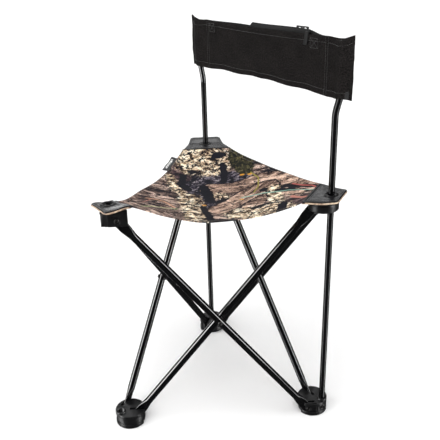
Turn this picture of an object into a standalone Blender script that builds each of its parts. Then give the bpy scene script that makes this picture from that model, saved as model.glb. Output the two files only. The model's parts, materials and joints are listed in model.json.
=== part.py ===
"""A folding three leg stool: six scissor tubes, three top hubs, three feet, a sling seat and a back band.

The stool stands open on Z = 0 and the sitter faces -Y. Metres, +Z up. Each corner has its own frame, with X
pointing away from the middle of the stool, and each tube is modelled once along Z and turned into its place.
"""

import math

import bmesh
import bpy
from mathutils import Matrix, Vector

# Driving sizes of the frame
TUBE_SPAN = 0.5762  # pin to pin along a scissor tube
OPEN_ANGLE = math.radians(38.64)  # a tube's lean from upright when the stool is open
PIN_INSET = 0.033  # from a corner line to a pin, along a side
FOOT_PIN_Z = 0.0145
TUBE_R = 0.0075
POST_R = 0.006
LAYER = 0.0085  # from a side's middle plane to the centre of each of its two tubes
FLAT_HALF_THICK = 0.0024
FLAT_HALF_WIDTH = 0.0105
FLAT_REACH = 0.024  # the flattened stretch, measured from the pin
TAPER_REACH = 0.046
PIN_R = 0.0025
HOLE_R = 0.0028
SLOT_HALF = 0.0028
TOUCH_GAP = 0.0003

SIDE_WIDTH = TUBE_SPAN * math.sin(OPEN_ANGLE)
RISE = TUBE_SPAN * math.cos(OPEN_ANGLE)
CORNER_R = (SIDE_WIDTH + 2 * PIN_INSET) / math.sqrt(3)
HUB_PIN_Z = FOOT_PIN_Z + RISE

# Corner hardware, in the corner's frame
POST_X = -0.0031
FRONT_SET_IN = 0.0165  # the front hub and patch sit this much nearer the middle than the rear ones
BORE_R = POST_R + 0.0004
HUB_LOW = -0.0105
HUB_HIGH = 0.020
HUB_DISC_LOW = -0.005
REAR_DISC_X = -0.0177
REAR_DISC_R = 0.029
FRONT_DISC_R = 0.0256
HUB_BACK_X = -0.041  # cut flat, clear of the seat where it starts to sag
STUD_HOLE_FLOOR = 0.0128  # the front hub takes no post, only a shallow hole
FACET = 0.0145  # from a side's middle plane to the flat face round its outer pin
FACET_NEAR = 0.0165  # the flat's two ends, along the side from the corner line
FACET_FAR = 0.0525
RIB_STEP = 0.0062
RIB_DEPTH = 0.0015
PUCK_X = -0.0245
PUCK_R = 0.030
PUCK_LOW = -FOOT_PIN_Z
PUCK_HIGH = 0.0155
BOSS_R = 0.010
BOSS_HIGH = 0.0185
SOCKET_FLOOR = -0.008
RECESS_FLOOR = -0.009
SLOT_END = 0.0116  # from the pin to the closed end of a slot
SLOT_BACK = 0.013  # a slot's length behind its pin and in front of it
SLOT_FRONT = 0.070
PIN_TIP = -0.0078
HEAD_R = 0.0046
WASHER_R = 0.0055
RIVET_TAIL = 0.0016
SCREW_SEAT = 0.0105  # from a post's axis to the seat of its screw's head
HEAD_THICK = 0.0018
POCKET_R = 0.0056

# Back posts and back band
POST_BEND_Z = 0.640  # where a back post starts to lean outwards
POST_TURN_Z = 0.674  # where it turns upright again
POST_LEAN = math.radians(18)
POST_TOP_Z = 0.760
BAND_LOW_Z = 0.6665
BAND_HIGH_Z = 0.7665
BAND_HALF_THICK = 0.0015
SEAM_X = 0.184
BAND_EDGE_X = 0.247
SLEEVE_WALL = 0.0016
SLEEVE_TOP = 0.002
STRAP_WIDTH = 0.025
STRAP_HALF_THICK = 0.0008
STRAP_END_X = 0.172
STRAP_Z = 0.754
BUCKLE_X = 0.086
STRAP_BOW = 0.008

# Sling seat
PATCH_Z = HUB_HIGH + 0.0018
PATCH_HALF_THICK = 0.0012
PATCH_OUTER_X = 0.018
PATCH_INNER_X = -0.0425
PATCH_OUTER_HALF = 0.033
PATCH_INNER_HALF = 0.053
PATCH_HOLE_R = 0.0085
GROMMET_R = 0.014
EDGE_OUT = 0.020  # how far a seat edge stands out from the middle plane of its side
EDGE_SAG = 0.020
MIDDLE_SAG = 0.040
SEAT_HALF_THICK = 0.0012
TAG_LENGTH = 0.050
TAG_REACH = 0.013

# The frame's origin is the middle of the stool's bounding box on the floor.
FRONT_REACH = CORNER_R + POST_X + BOSS_R
REAR_REACH = (CORNER_R + PATCH_OUTER_X) / 2 + PATCH_OUTER_HALF * math.cos(math.radians(30))
MIDDLE_Y = (FRONT_REACH - REAR_REACH) / 2

CORNERS = ("front", "right", "left")  # counter-clockwise from above, starting at the front
BEARING = {"front": -90, "right": 30, "left": 150}

parts = bpy.data.collections.new("three_leg_stool")
cutters = bpy.data.collections.new("cutters")


def clear_scene():
    for obj in list(bpy.data.objects):
        bpy.data.objects.remove(obj, do_unlink=True)


def material(name, colour, roughness, metallic=0.0):
    made = bpy.data.materials.new(name)
    made.use_nodes = True
    shader = made.node_tree.nodes["Principled BSDF"]
    shader.inputs["Base Color"].default_value = (*colour, 1)
    shader.inputs["Roughness"].default_value = roughness
    shader.inputs["Metallic"].default_value = metallic
    return made


def from_bmesh(name, shape, paint=None, home=None):
    """Turns a bmesh into an object of its own, smooth with sharp edges kept."""
    bmesh.ops.recalc_face_normals(shape, faces=shape.faces)
    mesh = bpy.data.meshes.new(name)
    shape.to_mesh(mesh)
    shape.free()
    mesh.shade_smooth()
    mesh.set_sharp_from_angle(angle=math.radians(35))
    if paint:
        mesh.materials.append(paint)
    obj = bpy.data.objects.new(name, mesh)
    (home or parts).objects.link(obj)
    return obj


def cylinder(radius, low, high, sides=24, axis="Z"):
    """A bmesh cylinder on the local axis named, from low to high along it."""
    shape = bmesh.new()
    place = Matrix.Translation((0, 0, (low + high) / 2))
    if axis == "Y":
        place = Matrix.Rotation(math.radians(-90), 4, "X") @ place
    size = {"radius1": radius, "radius2": radius, "depth": high - low}
    bmesh.ops.create_cone(shape, cap_ends=True, segments=sides, matrix=place, **size)
    return shape


def box(low, high):
    shape = bmesh.new()
    size = [b - a for a, b in zip(low, high)]
    middle = [(a + b) / 2 for a, b in zip(low, high)]
    place = Matrix.Translation(middle) @ Matrix.Diagonal((*size, 1))
    bmesh.ops.create_cube(shape, size=1, matrix=place)
    return shape


def prism(outline, low, high):
    """A bmesh prism with this outline in X and Y."""
    shape = bmesh.new()
    base = shape.faces.new([shape.verts.new((x, y, low)) for x, y in outline])
    grown = bmesh.ops.extrude_face_region(shape, geom=[base])["geom"]
    raised = [item for item in grown if isinstance(item, bmesh.types.BMVert)]
    bmesh.ops.translate(shape, vec=(0, 0, high - low), verts=raised)
    return shape


def bevel_level_edges(shape, width, steps=1):
    """Rounds the top and bottom rims of a prism, leaving its upright edges."""
    rims = [edge for edge in shape.edges if abs(edge.verts[0].co.z - edge.verts[1].co.z) < 1e-6]
    bmesh.ops.bevel(shape, geom=rims, offset=width, segments=steps, affect="EDGES", profile=0.5)


def combine(obj, shapes, operation="DIFFERENCE"):
    """Cuts these bmesh shapes from the object, or joins them to it, and bakes the result into its mesh."""
    tools = []
    for number, (shape, place) in enumerate(shapes):
        tool = from_bmesh(f"{obj.name}_tool_{number}", shape, home=cutters)
        tool.matrix_world = place
        tool.display_type = "WIRE"
        tool.hide_render = True
        change = obj.modifiers.new(tool.name, "BOOLEAN")
        change.operation = operation
        change.solver = "EXACT"
        change.object = tool
        tools.append(tool)
    bpy.context.view_layer.update()
    seen = obj.evaluated_get(bpy.context.evaluated_depsgraph_get())
    baked = bpy.data.meshes.new_from_object(seen)
    obj.modifiers.clear()
    obj.data = baked
    baked.shade_smooth()
    baked.set_sharp_from_angle(angle=math.radians(35))
    for tool in tools:
        bpy.data.objects.remove(tool, do_unlink=True)


def copy_of(pattern, name, place):
    """A separate object with its own copy of the pattern's mesh."""
    obj = pattern.copy()
    obj.data = pattern.data.copy()
    obj.name = name
    obj.matrix_world = place
    parts.objects.link(obj)
    return obj


def discard(pattern):
    bpy.data.objects.remove(pattern, do_unlink=True)


def outward(corner):
    angle = math.radians(BEARING[corner])
    return Vector((math.cos(angle), math.sin(angle), 0))


def next_corner(corner):
    return CORNERS[(CORNERS.index(corner) + 1) % 3]


def corner_place(corner, height):
    """The corner's frame: X away from the middle, Z up, its origin on the corner line."""
    turn = Matrix.Rotation(math.radians(BEARING[corner]), 4, "Z")
    return Matrix.Translation(outward(corner) * CORNER_R + Vector((0, 0, height))) @ turn


def side_axes(side):
    """The run along a side from its corner, and its outward normal, in the corner's frame.

    Side +1 goes to the next corner counter-clockwise from above, and side -1 to the other one.
    """
    along = Vector((-math.cos(math.radians(30)), side * 0.5, 0))
    normal = Vector((0.5, side * math.cos(math.radians(30)), 0))
    return along, normal


def side_place(side, layer, facing=1):
    """A frame on one pin of a corner: Z up, and Y out of the side, or into it where facing is -1."""
    along, normal = side_axes(side)
    up = Vector((0, 0, 1))
    ahead = normal * facing
    turn = Matrix((ahead.cross(up), ahead, up)).transposed().to_4x4()
    return Matrix.Translation(along * PIN_INSET + normal * layer) @ turn


def side_box(side, along, normal, heights):
    """A box set square to one side of a corner, given by its two ends in each direction."""
    run, out = side_axes(side)
    place = Matrix((run, out, (0, 0, 1))).transposed().to_4x4()
    lows, highs = zip(along, normal, heights)
    return box(lows, highs), place


def tube_rings():
    """The (station, half straight, half thickness) of each ring, from a tube's tip to its round stretch."""
    rings = []
    for degrees in (18, 45, 72):
        angle = math.radians(degrees)
        width = FLAT_HALF_WIDTH * math.sin(angle)
        thick = min(FLAT_HALF_THICK, width * 0.85)
        rings.append((-FLAT_HALF_WIDTH * math.cos(angle), width - thick, thick))
    straight = FLAT_HALF_WIDTH - FLAT_HALF_THICK
    rings.append((0.0, straight, FLAT_HALF_THICK))
    for step in range(5):
        share = step / 4
        blend = share * share * (3 - 2 * share)
        station = FLAT_REACH + (TAPER_REACH - FLAT_REACH) * share
        thick = FLAT_HALF_THICK + (TUBE_R - FLAT_HALF_THICK) * blend
        rings.append((station, straight * (1 - blend), thick))
    return rings


def make_tube_pattern(paint):
    """One scissor tube along Z, its foot pin at the origin, flattened and drilled at both ends."""
    half = tube_rings()
    rings = half + [(TUBE_SPAN - station, *size) for station, *size in reversed(half)]
    sides = 16
    shape = bmesh.new()
    loops = []
    for station, straight, thick in rings:
        loop = []
        for count in range(sides):
            angle = (count + 0.5) * 2 * math.pi / sides
            across = math.copysign(straight, math.cos(angle)) + thick * math.cos(angle)
            loop.append(shape.verts.new((across, thick * math.sin(angle), station)))
        loops.append(loop)
    for low, high in zip(loops, loops[1:]):
        for count in range(sides):
            after = (count + 1) % sides
            shape.faces.new((low[count], low[after], high[after], high[count]))
    shape.faces.new(loops[0])
    shape.faces.new(loops[-1])
    pattern = from_bmesh("tube_pattern", shape, paint)
    holes = []
    for station in (0, TUBE_SPAN / 2, TUBE_SPAN):
        holes.append((cylinder(HOLE_R, -0.02, 0.02, 12, "Y"), Matrix.Translation((0, 0, station))))
    combine(pattern, holes)
    return pattern


def tube_place(start, end, side_sign):
    """Where the tube from one corner's foot to another's hub goes; side_sign is +1 on the outer layer."""
    run = (outward(end) - outward(start)).normalized()
    normal = (outward(start) + outward(end)).normalized()
    foot = outward(start) * CORNER_R + run * PIN_INSET + normal * LAYER * side_sign
    foot.z = FOOT_PIN_Z
    axis = run * math.sin(OPEN_ANGLE) + Vector((0, 0, math.cos(OPEN_ANGLE)))
    across = normal.cross(axis)
    return Matrix.Translation(foot) @ Matrix((across, normal, axis)).transposed().to_4x4()


def make_tubes(paint):
    """Each side's outer tube runs down to the next corner's foot, and its inner tube up to its hub."""
    pattern = make_tube_pattern(paint)
    for corner in CORNERS:
        after = next_corner(corner)
        copy_of(pattern, f"tube_{corner}_hub_to_{after}_foot", tube_place(after, corner, 1))
        copy_of(pattern, f"tube_{after}_hub_to_{corner}_foot", tube_place(corner, after, -1))
    discard(pattern)


def slot_cutter(side, layer, opens_up):
    """The space that a tube's flattened end turns in, open towards the next corner, and its place."""
    heights = (-SLOT_END, 0.050) if opens_up else (-0.050, SLOT_END)
    reach = (PIN_INSET - SLOT_BACK, PIN_INSET + SLOT_FRONT)
    return side_box(side, reach, (layer - SLOT_HALF, layer + SLOT_HALF), heights)


def pin_cutters(place, tip, head_seat):
    """A pin's hole and the pocket that its head sits in, placed by the pin's frame."""
    return [
        (cylinder(HOLE_R, tip, 0.06, 12, "Y"), place),
        (cylinder(POCKET_R, head_seat, 0.06, 16, "Y"), place),
    ]


# By side of a corner: the tube's layer, the way its pin's head faces, and the head's seat from the layer.
# Outer pins show on the flat face. Inner pins go in from the middle of the stool, and don't show outside.
HUB_PINS = {1: (LAYER, 1, FACET - LAYER - 0.0021), -1: (-LAYER, -1, 0.0050)}
FOOT_PINS = {-1: (LAYER, 1, FACET - LAYER - 0.0021), 1: (-LAYER, -1, 0.0050)}


def corner_cutters(pins, opens_up):
    """The slot, the pin's hole and the head's pocket for each of the two tubes at a corner."""
    cuts = []
    for side, (layer, facing, head_seat) in pins.items():
        cuts.append(slot_cutter(side, layer, opens_up))
        cuts += pin_cutters(side_place(side, layer, facing), PIN_TIP - 0.001, head_seat)
    return cuts


def turned(profile, sides, centre_x):
    """A closed solid turned from this (radius, height) profile about an upright axis at centre_x."""
    shape = bmesh.new()
    start = [shape.verts.new((radius, 0, height)) for radius, height in profile]
    edges = [shape.edges.new(pair) for pair in zip(start, start[1:])]
    upright = {"cent": (0, 0, 0), "axis": (0, 0, 1), "angle": 2 * math.pi}
    bmesh.ops.spin(shape, geom=start + edges, steps=sides, use_merge=True, **upright)
    bmesh.ops.remove_doubles(shape, verts=shape.verts, dist=1e-6)
    bmesh.ops.holes_fill(shape, edges=[edge for edge in shape.edges if edge.is_boundary])
    bmesh.ops.translate(shape, vec=(centre_x, 0, 0), verts=shape.verts)
    return shape


def hub_profile(radius):
    """The turned part of a hub, with a groove under its top plate."""
    groove = radius - 0.0015
    profile = [(radius - 0.0022, HUB_DISC_LOW), (radius, HUB_DISC_LOW + 0.0022)]
    profile += [(radius, 0.0080), (groove, 0.0090), (groove, 0.0110), (radius, 0.0120)]
    return profile + [(radius, HUB_HIGH)]


def make_hub_pattern(paint, name, disc_x, disc_r):
    """A top hub in its corner's frame, its pins at Z = 0: a turned disc and a block round the outer pin."""
    pattern = from_bmesh(f"{name}_hub_pattern", turned(hub_profile(disc_r), 32, disc_x), paint)
    near = FACET_NEAR - 2 * RIB_STEP
    block = side_box(1, (near, FACET_FAR), (-0.002, FACET + 0.002), (HUB_LOW, HUB_HIGH - 0.0005))
    combine(pattern, [block], "UNION")
    cuts = [side_box(1, (near + 0.001, 0.09), (FACET, 0.06), (-0.05, 0.05))]
    cuts.append((box((-0.10, -0.06, -0.05), (HUB_BACK_X, 0.06, 0.05)), Matrix.Identity(4)))
    for rib in (1, 2):
        reach = (-0.03, FACET_NEAR - (rib - 1) * RIB_STEP)
        cuts.append(side_box(1, reach, (FACET - rib * RIB_DEPTH, 0.06), (-0.05, HUB_HIGH - 0.004)))
    combine(pattern, cuts)
    return pattern


def cut_hub(pattern, bore_x, bore_floor):
    """Cuts a hub's two slots, its pins' holes, and its bore from bore_floor up."""
    bore = (cylinder(BORE_R, bore_floor, 0.05, 20), Matrix.Translation((bore_x, 0, 0)))
    combine(pattern, [bore, *corner_cutters(HUB_PINS, False)])


def make_hubs(paint):
    """Two rear hubs that the back posts slide through, and a front hub that is set further in."""
    rear = make_hub_pattern(paint, "rear", REAR_DISC_X, REAR_DISC_R)
    cut_hub(rear, POST_X, -0.05)
    front = make_hub_pattern(paint, "front", REAR_DISC_X - FRONT_SET_IN, FRONT_DISC_R)
    cut_hub(front, hole_x("front"), STUD_HOLE_FLOOR)
    for corner in CORNERS:
        copy_of(front if corner == "front" else rear, f"hub_{corner}", corner_place(corner, HUB_PIN_Z))
    discard(front)
    discard(rear)


def puck_profile():
    """The turned part of a foot, with a rounded tread and a lip round its top plate."""
    profile = [(0.0235, PUCK_LOW)]
    for degrees in (-60, -30, 0):
        angle = math.radians(degrees)
        rise = PUCK_LOW + 0.006 + 0.006 * math.sin(angle)
        profile.append((0.0235 + 0.006 * math.cos(angle), rise))
    profile += [(PUCK_R, 0.0080), (0.0288, 0.0090), (0.0288, 0.0102), (0.0305, 0.0110)]
    return profile + [(0.0305, 0.0142), (0.0293, PUCK_HIGH)]


def make_feet(paint):
    """Three feet, each a puck with two slots, a flat recess round its outer pin and a raised post socket."""
    pattern = from_bmesh("foot_pattern", turned(puck_profile(), 32, PUCK_X), paint)
    at_post = Matrix.Translation((POST_X, 0, 0))
    boss = cylinder(BOSS_R, -0.004, BOSS_HIGH, 24)
    bevel_level_edges(boss, 0.0010)
    combine(pattern, [(boss, at_post)], "UNION")
    cuts = [(cylinder(BORE_R, SOCKET_FLOOR, 0.05, 20), at_post)]
    cuts.append(side_box(-1, (FACET_NEAR, 0.09), (FACET, 0.06), (RECESS_FLOOR, 0.05)))
    cuts += corner_cutters(FOOT_PINS, True)
    cuts += pin_cutters(screw_place(), POST_R - 0.002, SCREW_SEAT)
    combine(pattern, cuts)
    for corner in CORNERS:
        copy_of(pattern, f"foot_{corner}", corner_place(corner, FOOT_PIN_Z))
    discard(pattern)


def screw_place():
    """The frame of the screw that holds a back post in its foot: Y points out through its head."""
    turn = side_place(-1, 0).to_3x3().to_4x4()
    return Matrix.Translation((POST_X, 0, 0.002)) @ turn


def headed_pin(tip, head_seat):
    """A pin with a domed head, along Y, turned in one piece."""
    seat = head_seat + TOUCH_GAP
    profile = [(0.0, tip), (PIN_R, tip), (PIN_R, seat), (HEAD_R, seat), (HEAD_R, seat + HEAD_THICK * 0.5)]
    profile += [(HEAD_R * 0.72, seat + HEAD_THICK), (0.0, seat + HEAD_THICK * 1.15)]
    shape = bmesh.new()
    start = [shape.verts.new((radius, height, 0)) for radius, height in profile]
    edges = [shape.edges.new(pair) for pair in zip(start, start[1:])]
    level = {"cent": (0, 0, 0), "axis": (0, 1, 0), "angle": 2 * math.pi}
    bmesh.ops.spin(shape, geom=start + edges, steps=12, **level)
    bmesh.ops.remove_doubles(shape, verts=shape.verts, dist=1e-6)
    return shape


def make_corner_pins(kind, pins, height, paint):
    """Each corner's two pins, for the tube on the outer layer and the tube on the inner layer."""
    for corner in CORNERS:
        for side, (layer, facing, head_seat) in pins.items():
            name = "outer" if layer > 0 else "inner"
            pin = from_bmesh(f"{kind}_pin_{corner}_{name}", headed_pin(PIN_TIP, head_seat), paint)
            pin.matrix_world = corner_place(corner, height) @ side_place(side, layer, facing)


def make_post_screws(steel):
    for corner in ("right", "left"):
        screw = from_bmesh(f"post_screw_{corner}", headed_pin(POST_R + TOUCH_GAP, SCREW_SEAT), steel)
        screw.matrix_world = corner_place(corner, FOOT_PIN_Z) @ screw_place()


def make_crossings(steel, nylon):
    """The rivet and the spacer washer where the two tubes of each side cross."""
    reach = LAYER + TUBE_R + TOUCH_GAP
    for corner in CORNERS:
        after = next_corner(corner)
        run = (outward(after) - outward(corner)).normalized()
        normal = (outward(after) + outward(corner)).normalized()
        middle = (outward(after) + outward(corner)) * CORNER_R / 2
        middle.z = FOOT_PIN_Z + RISE / 2
        turn = Matrix((run, normal, run.cross(normal))).transposed().to_4x4()
        place = Matrix.Translation(middle) @ turn
        rivet = from_bmesh(f"rivet_{corner}_{after}", headed_pin(-reach - RIVET_TAIL, reach), steel)
        rivet.matrix_world = place
        half_gap = LAYER - TUBE_R - TOUCH_GAP
        ring = cylinder(WASHER_R, -half_gap, half_gap, 16, "Y")
        washer = from_bmesh(f"washer_{corner}_{after}", ring, nylon)
        combine(washer, [(cylinder(HOLE_R, -0.01, 0.01, 12, "Y"), Matrix.Identity(4))])
        washer.matrix_world = place


def post_point(side, height):
    """The centre of a back post at this height; side is +1 at the right."""
    radius = CORNER_R + POST_X
    above = max(0.0, min(height, POST_TURN_Z) - POST_BEND_Z)
    lean = above * math.tan(POST_LEAN)
    return Vector((side * (radius * math.cos(math.radians(30)) + lean), radius / 2, height))


def make_posts(paint, plastic):
    """The bent back posts, from the sockets of the rear feet up into the band's sleeves."""
    for side, corner in ((1, "right"), (-1, "left")):
        low = FOOT_PIN_Z + SOCKET_FLOOR + TOUCH_GAP
        bends = [bend + step for bend in (POST_BEND_Z, POST_TURN_Z) for step in (-0.006, 0.006)]
        heights = [low, *bends, POST_TOP_Z]
        path = bpy.data.curves.new(f"back_post_{corner}", "CURVE")
        path.dimensions = "3D"
        line = path.splines.new("POLY")
        line.points.add(len(heights) - 1)
        for point, height in zip(line.points, heights):
            point.co = (*post_point(side, height), 1)
        path.bevel_depth = POST_R
        path.bevel_resolution = 4
        path.use_fill_caps = True
        path.materials.append(paint)
        parts.objects.link(bpy.data.objects.new(f"back_post_{corner}", path))
        cap_shape = cylinder(POST_R, TOUCH_GAP, 0.0045, 20)
        bevel_level_edges(cap_shape, 0.0010)
        cap = from_bmesh(f"post_cap_{corner}", cap_shape, plastic)
        cap.matrix_world = Matrix.Translation(post_point(side, POST_TOP_Z))


def flipped(half):
    """The other half of a symmetric outline, running back to its start."""
    return [(x, -y) for x, y in reversed(half)]


def sleeve_outline(wall):
    """Half of a sleeve's plan, as (x, half thickness) from its seam to its outer edge, drawn in by wall."""
    swell_low = SEAM_X + 0.016
    swell_high = BAND_EDGE_X - 0.004
    deep = POST_R + 0.0030 - wall
    return [
        (swell_low + wall, 0.0060 - wall),
        (swell_low + 0.005, deep),
        (swell_high - 0.003, deep),
        (swell_high - wall, 0.0062 - wall),
    ]


def make_sleeves(fabric):
    """The pockets at the ends of the back band, closed above, that the posts stand in."""
    centre_y = post_point(1, 0).y
    for side, corner in ((1, "right"), (-1, "left")):
        seam = (SEAM_X + TOUCH_GAP, BAND_HALF_THICK)
        outer = [seam, *sleeve_outline(0.0), (BAND_EDGE_X, BAND_HALF_THICK)]
        inner = sleeve_outline(SLEEVE_WALL)
        plans = [[(side * x, y) for x, y in half + flipped(half)] for half in (outer, inner)]
        solid = prism(plans[0], BAND_LOW_Z, BAND_HIGH_Z + SLEEVE_TOP)
        pocket = from_bmesh(f"back_sleeve_{corner}", solid, fabric)
        combine(pocket, [(prism(plans[1], BAND_LOW_Z - 0.01, BAND_HIGH_Z), Matrix.Identity(4))])
        pocket.location.y = centre_y


def make_back_panels(fabric):
    """The two halves of the band between its sleeves, which fold like a book."""
    centre_y = post_point(1, 0).y
    for side, corner in ((1, "right"), (-1, "left")):
        xs = sorted((side * TOUCH_GAP / 2, side * SEAM_X))
        shape = box((xs[0], -BAND_HALF_THICK, BAND_LOW_Z), (xs[1], BAND_HALF_THICK, BAND_HIGH_Z))
        panel = from_bmesh(f"back_panel_{corner}", shape, fabric)
        panel.data.transform(Matrix.Translation((-side * SEAM_X, 0, 0)))
        panel.location = (side * SEAM_X, centre_y, 0)


def strap_offset(share):
    """How far the strap stands off the band, from its sewn end at 0 to the middle of the back at 1."""
    return 0.0024 + STRAP_BOW * math.sin(math.pi * share) ** 2


def make_straps(webbing, plastic):
    """The carry strap behind the band: two halves sewn near the sleeves, and a buckle on the right one."""
    centre_y = post_point(1, 0).y
    steps = 10
    for side, corner in ((1, "right"), (-1, "left")):
        front, rear = [], []
        for step in range(steps + 1):
            share = step / steps
            x = side * (STRAP_END_X * (1 - share) + TOUCH_GAP / 2)
            y = strap_offset(share) + BAND_HALF_THICK
            front.append((x, y - STRAP_HALF_THICK))
            rear.append((x, y + STRAP_HALF_THICK))
        shape = prism(front + rear[::-1], STRAP_Z - STRAP_WIDTH / 2, STRAP_Z + STRAP_WIDTH / 2)
        strap = from_bmesh(f"carry_strap_{corner}", shape, webbing)
        strap.location.y = centre_y
    stand = BAND_HALF_THICK + strap_offset(0.5) + STRAP_HALF_THICK + TOUCH_GAP
    buckle = from_bmesh("strap_buckle", box((-0.016, 0, -0.015), (0.016, 0.0035, 0.015)), plastic)
    windows = [box((x - 0.004, -0.01, -0.0127), (x + 0.004, 0.01, 0.0127)) for x in (-0.0078, 0.0078)]
    combine(buckle, [(window, Matrix.Identity(4)) for window in windows])
    buckle.location = (BUCKLE_X, centre_y + stand, STRAP_Z)


def hole_x(corner):
    """Where the hole in a corner's patch and ring is, in the corner's frame."""
    return POST_X - (FRONT_SET_IN if corner == "front" else 0)


def patch_outline(corner):
    outer_x = PATCH_OUTER_X - (FRONT_SET_IN if corner == "front" else 0)
    half = [(outer_x, PATCH_OUTER_HALF), (PATCH_INNER_X, PATCH_INNER_HALF)]
    return half + flipped(half)


def make_patches(vinyl, plastic):
    """The reinforced corners of the sling, each with a ring round its hole, lying on the hubs."""
    top = PATCH_Z + PATCH_HALF_THICK
    for corner in CORNERS:
        at_hole = Matrix.Translation((hole_x(corner), 0, 0))
        place = corner_place(corner, HUB_PIN_Z)
        shape = prism(patch_outline(corner), PATCH_Z - PATCH_HALF_THICK, top)
        patch = from_bmesh(f"seat_patch_{corner}", shape, vinyl)
        combine(patch, [(cylinder(PATCH_HOLE_R, 0, 0.05, 20), at_hole)])
        patch.matrix_world = place
        ring_shape = cylinder(GROMMET_R, top + TOUCH_GAP, top + 0.0022, 28)
        bevel_level_edges(ring_shape, 0.0006)
        ring = from_bmesh(f"grommet_{corner}", ring_shape, plastic)
        combine(ring, [(cylinder(PATCH_HOLE_R, 0, 0.05, 20), Matrix.Identity(4))])
        ring.matrix_world = place @ at_hole


def seat_point(corner, side, name):
    """A corner point of a seat panel in the stool's frame: hinge, wing, edge or middle."""
    level = Vector((0, 0, HUB_PIN_Z + PATCH_Z))
    across = outward(corner).cross(Vector((0, 0, -1)))
    hinge = outward(corner) * (CORNER_R + PATCH_INNER_X)
    if name == "hinge":
        return hinge + level
    if name == "wing":
        return hinge + across * side * PATCH_INNER_HALF + level
    if name == "edge":
        bearing = math.radians(BEARING[corner] + side * 60)
        reach = CORNER_R / 2 + EDGE_OUT
        return Vector((math.cos(bearing), math.sin(bearing), 0)) * reach + level - Vector((0, 0, EDGE_SAG))
    return level - Vector((0, 0, MIDDLE_SAG))


def make_seat_panels(canvas):
    """The sling between its patches, as two panels at each corner that meet along its natural folds."""
    for corner in CORNERS:
        for side in (1, -1):
            after = CORNERS[(CORNERS.index(corner) + side) % 3]
            points = [seat_point(corner, side, name) for name in ("hinge", "wing", "edge", "middle")]
            middle = sum(points, Vector()) / 4
            shape = bmesh.new()
            verts = []
            for point in points:
                inward = (middle - point).normalized()
                verts.append(shape.verts.new(point + inward * 0.0012))
            shape.faces.new((verts[0], verts[1], verts[2]))
            shape.faces.new((verts[0], verts[2], verts[3]))
            bmesh.ops.recalc_face_normals(shape, faces=shape.faces)
            panel = from_bmesh(f"seat_{corner}_toward_{after}", shape, canvas)
            thick = panel.modifiers.new("thickness", "SOLIDIFY")
            thick.thickness = 2 * SEAT_HALF_THICK
            thick.offset = 0


def make_tag(webbing):
    """A blank tag sewn under the left edge of the seat, which stands out from it."""
    wing = seat_point("left", 1, "wing")
    edge = seat_point("left", 1, "edge")
    run = (edge - wing).normalized()
    normal = Vector((0, 0, 1)).cross(run).normalized()
    turn = Matrix((run, normal, run.cross(normal))).transposed().to_4x4()
    top = -SEAT_HALF_THICK - 2 * TOUCH_GAP
    shape = box((-TAG_LENGTH / 2, -TAG_REACH, top - 0.0012), (TAG_LENGTH / 2, 0.0020, top))
    tag = from_bmesh("seat_tag", shape, webbing)
    tag.matrix_world = Matrix.Translation(wing.lerp(edge, 0.35)) @ turn


def stand_on_origin():
    """Parents every part to one empty, which sets the middle of the bounding box over the origin."""
    origin = bpy.data.objects.new("stool_origin", None)
    origin.location = (0, MIDDLE_Y, 0)
    pieces = list(parts.objects)
    parts.objects.link(origin)
    for piece in pieces:
        piece.parent = origin


def main():
    clear_scene()
    bpy.context.scene.collection.children.link(parts)
    bpy.context.scene.collection.children.link(cutters)
    cutters.hide_render = True
    black_steel = material("black_steel", (0.012, 0.012, 0.013), 0.28)
    black_plastic = material("black_plastic", (0.018, 0.018, 0.019), 0.45)
    zinc = material("zinc_steel", (0.42, 0.41, 0.40), 0.35, 1.0)
    nylon = material("nylon", (0.05, 0.05, 0.05), 0.5)
    back_fabric = material("back_fabric", (0.025, 0.024, 0.026), 0.9)
    webbing = material("webbing", (0.02, 0.02, 0.02), 0.8)
    canvas = material("camo_canvas", (0.30, 0.22, 0.15), 0.85)
    vinyl = material("patch_vinyl", (0.02, 0.02, 0.021), 0.4)
    make_tubes(black_steel)
    make_hubs(black_plastic)
    make_feet(black_plastic)
    make_corner_pins("hub", HUB_PINS, HUB_PIN_Z, zinc)
    make_corner_pins("foot", FOOT_PINS, FOOT_PIN_Z, zinc)
    make_post_screws(zinc)
    make_crossings(zinc, nylon)
    make_posts(black_steel, black_plastic)
    make_sleeves(back_fabric)
    make_back_panels(back_fabric)
    make_straps(webbing, black_plastic)
    make_patches(vinyl, black_plastic)
    make_seat_panels(canvas)
    make_tag(webbing)
    stand_on_origin()


main()
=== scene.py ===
"""The looks of the folding three leg stool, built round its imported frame, in metres with +Z up.

Hard parts are refined copies of the frame's nodes, or new meshes that run from pin to pin. Cloth parts are
thick sheets over grids of points, read from one seat surface and one band surface, so that their edges meet.

The corners are front, right (+X) and left (-X), and the sitter faces -Y. Each open side between two corners
carries one crossed pair of tubes.
"""
import json
import math

import bmesh
import bpy
from mathutils import Matrix, Vector, noise


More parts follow.
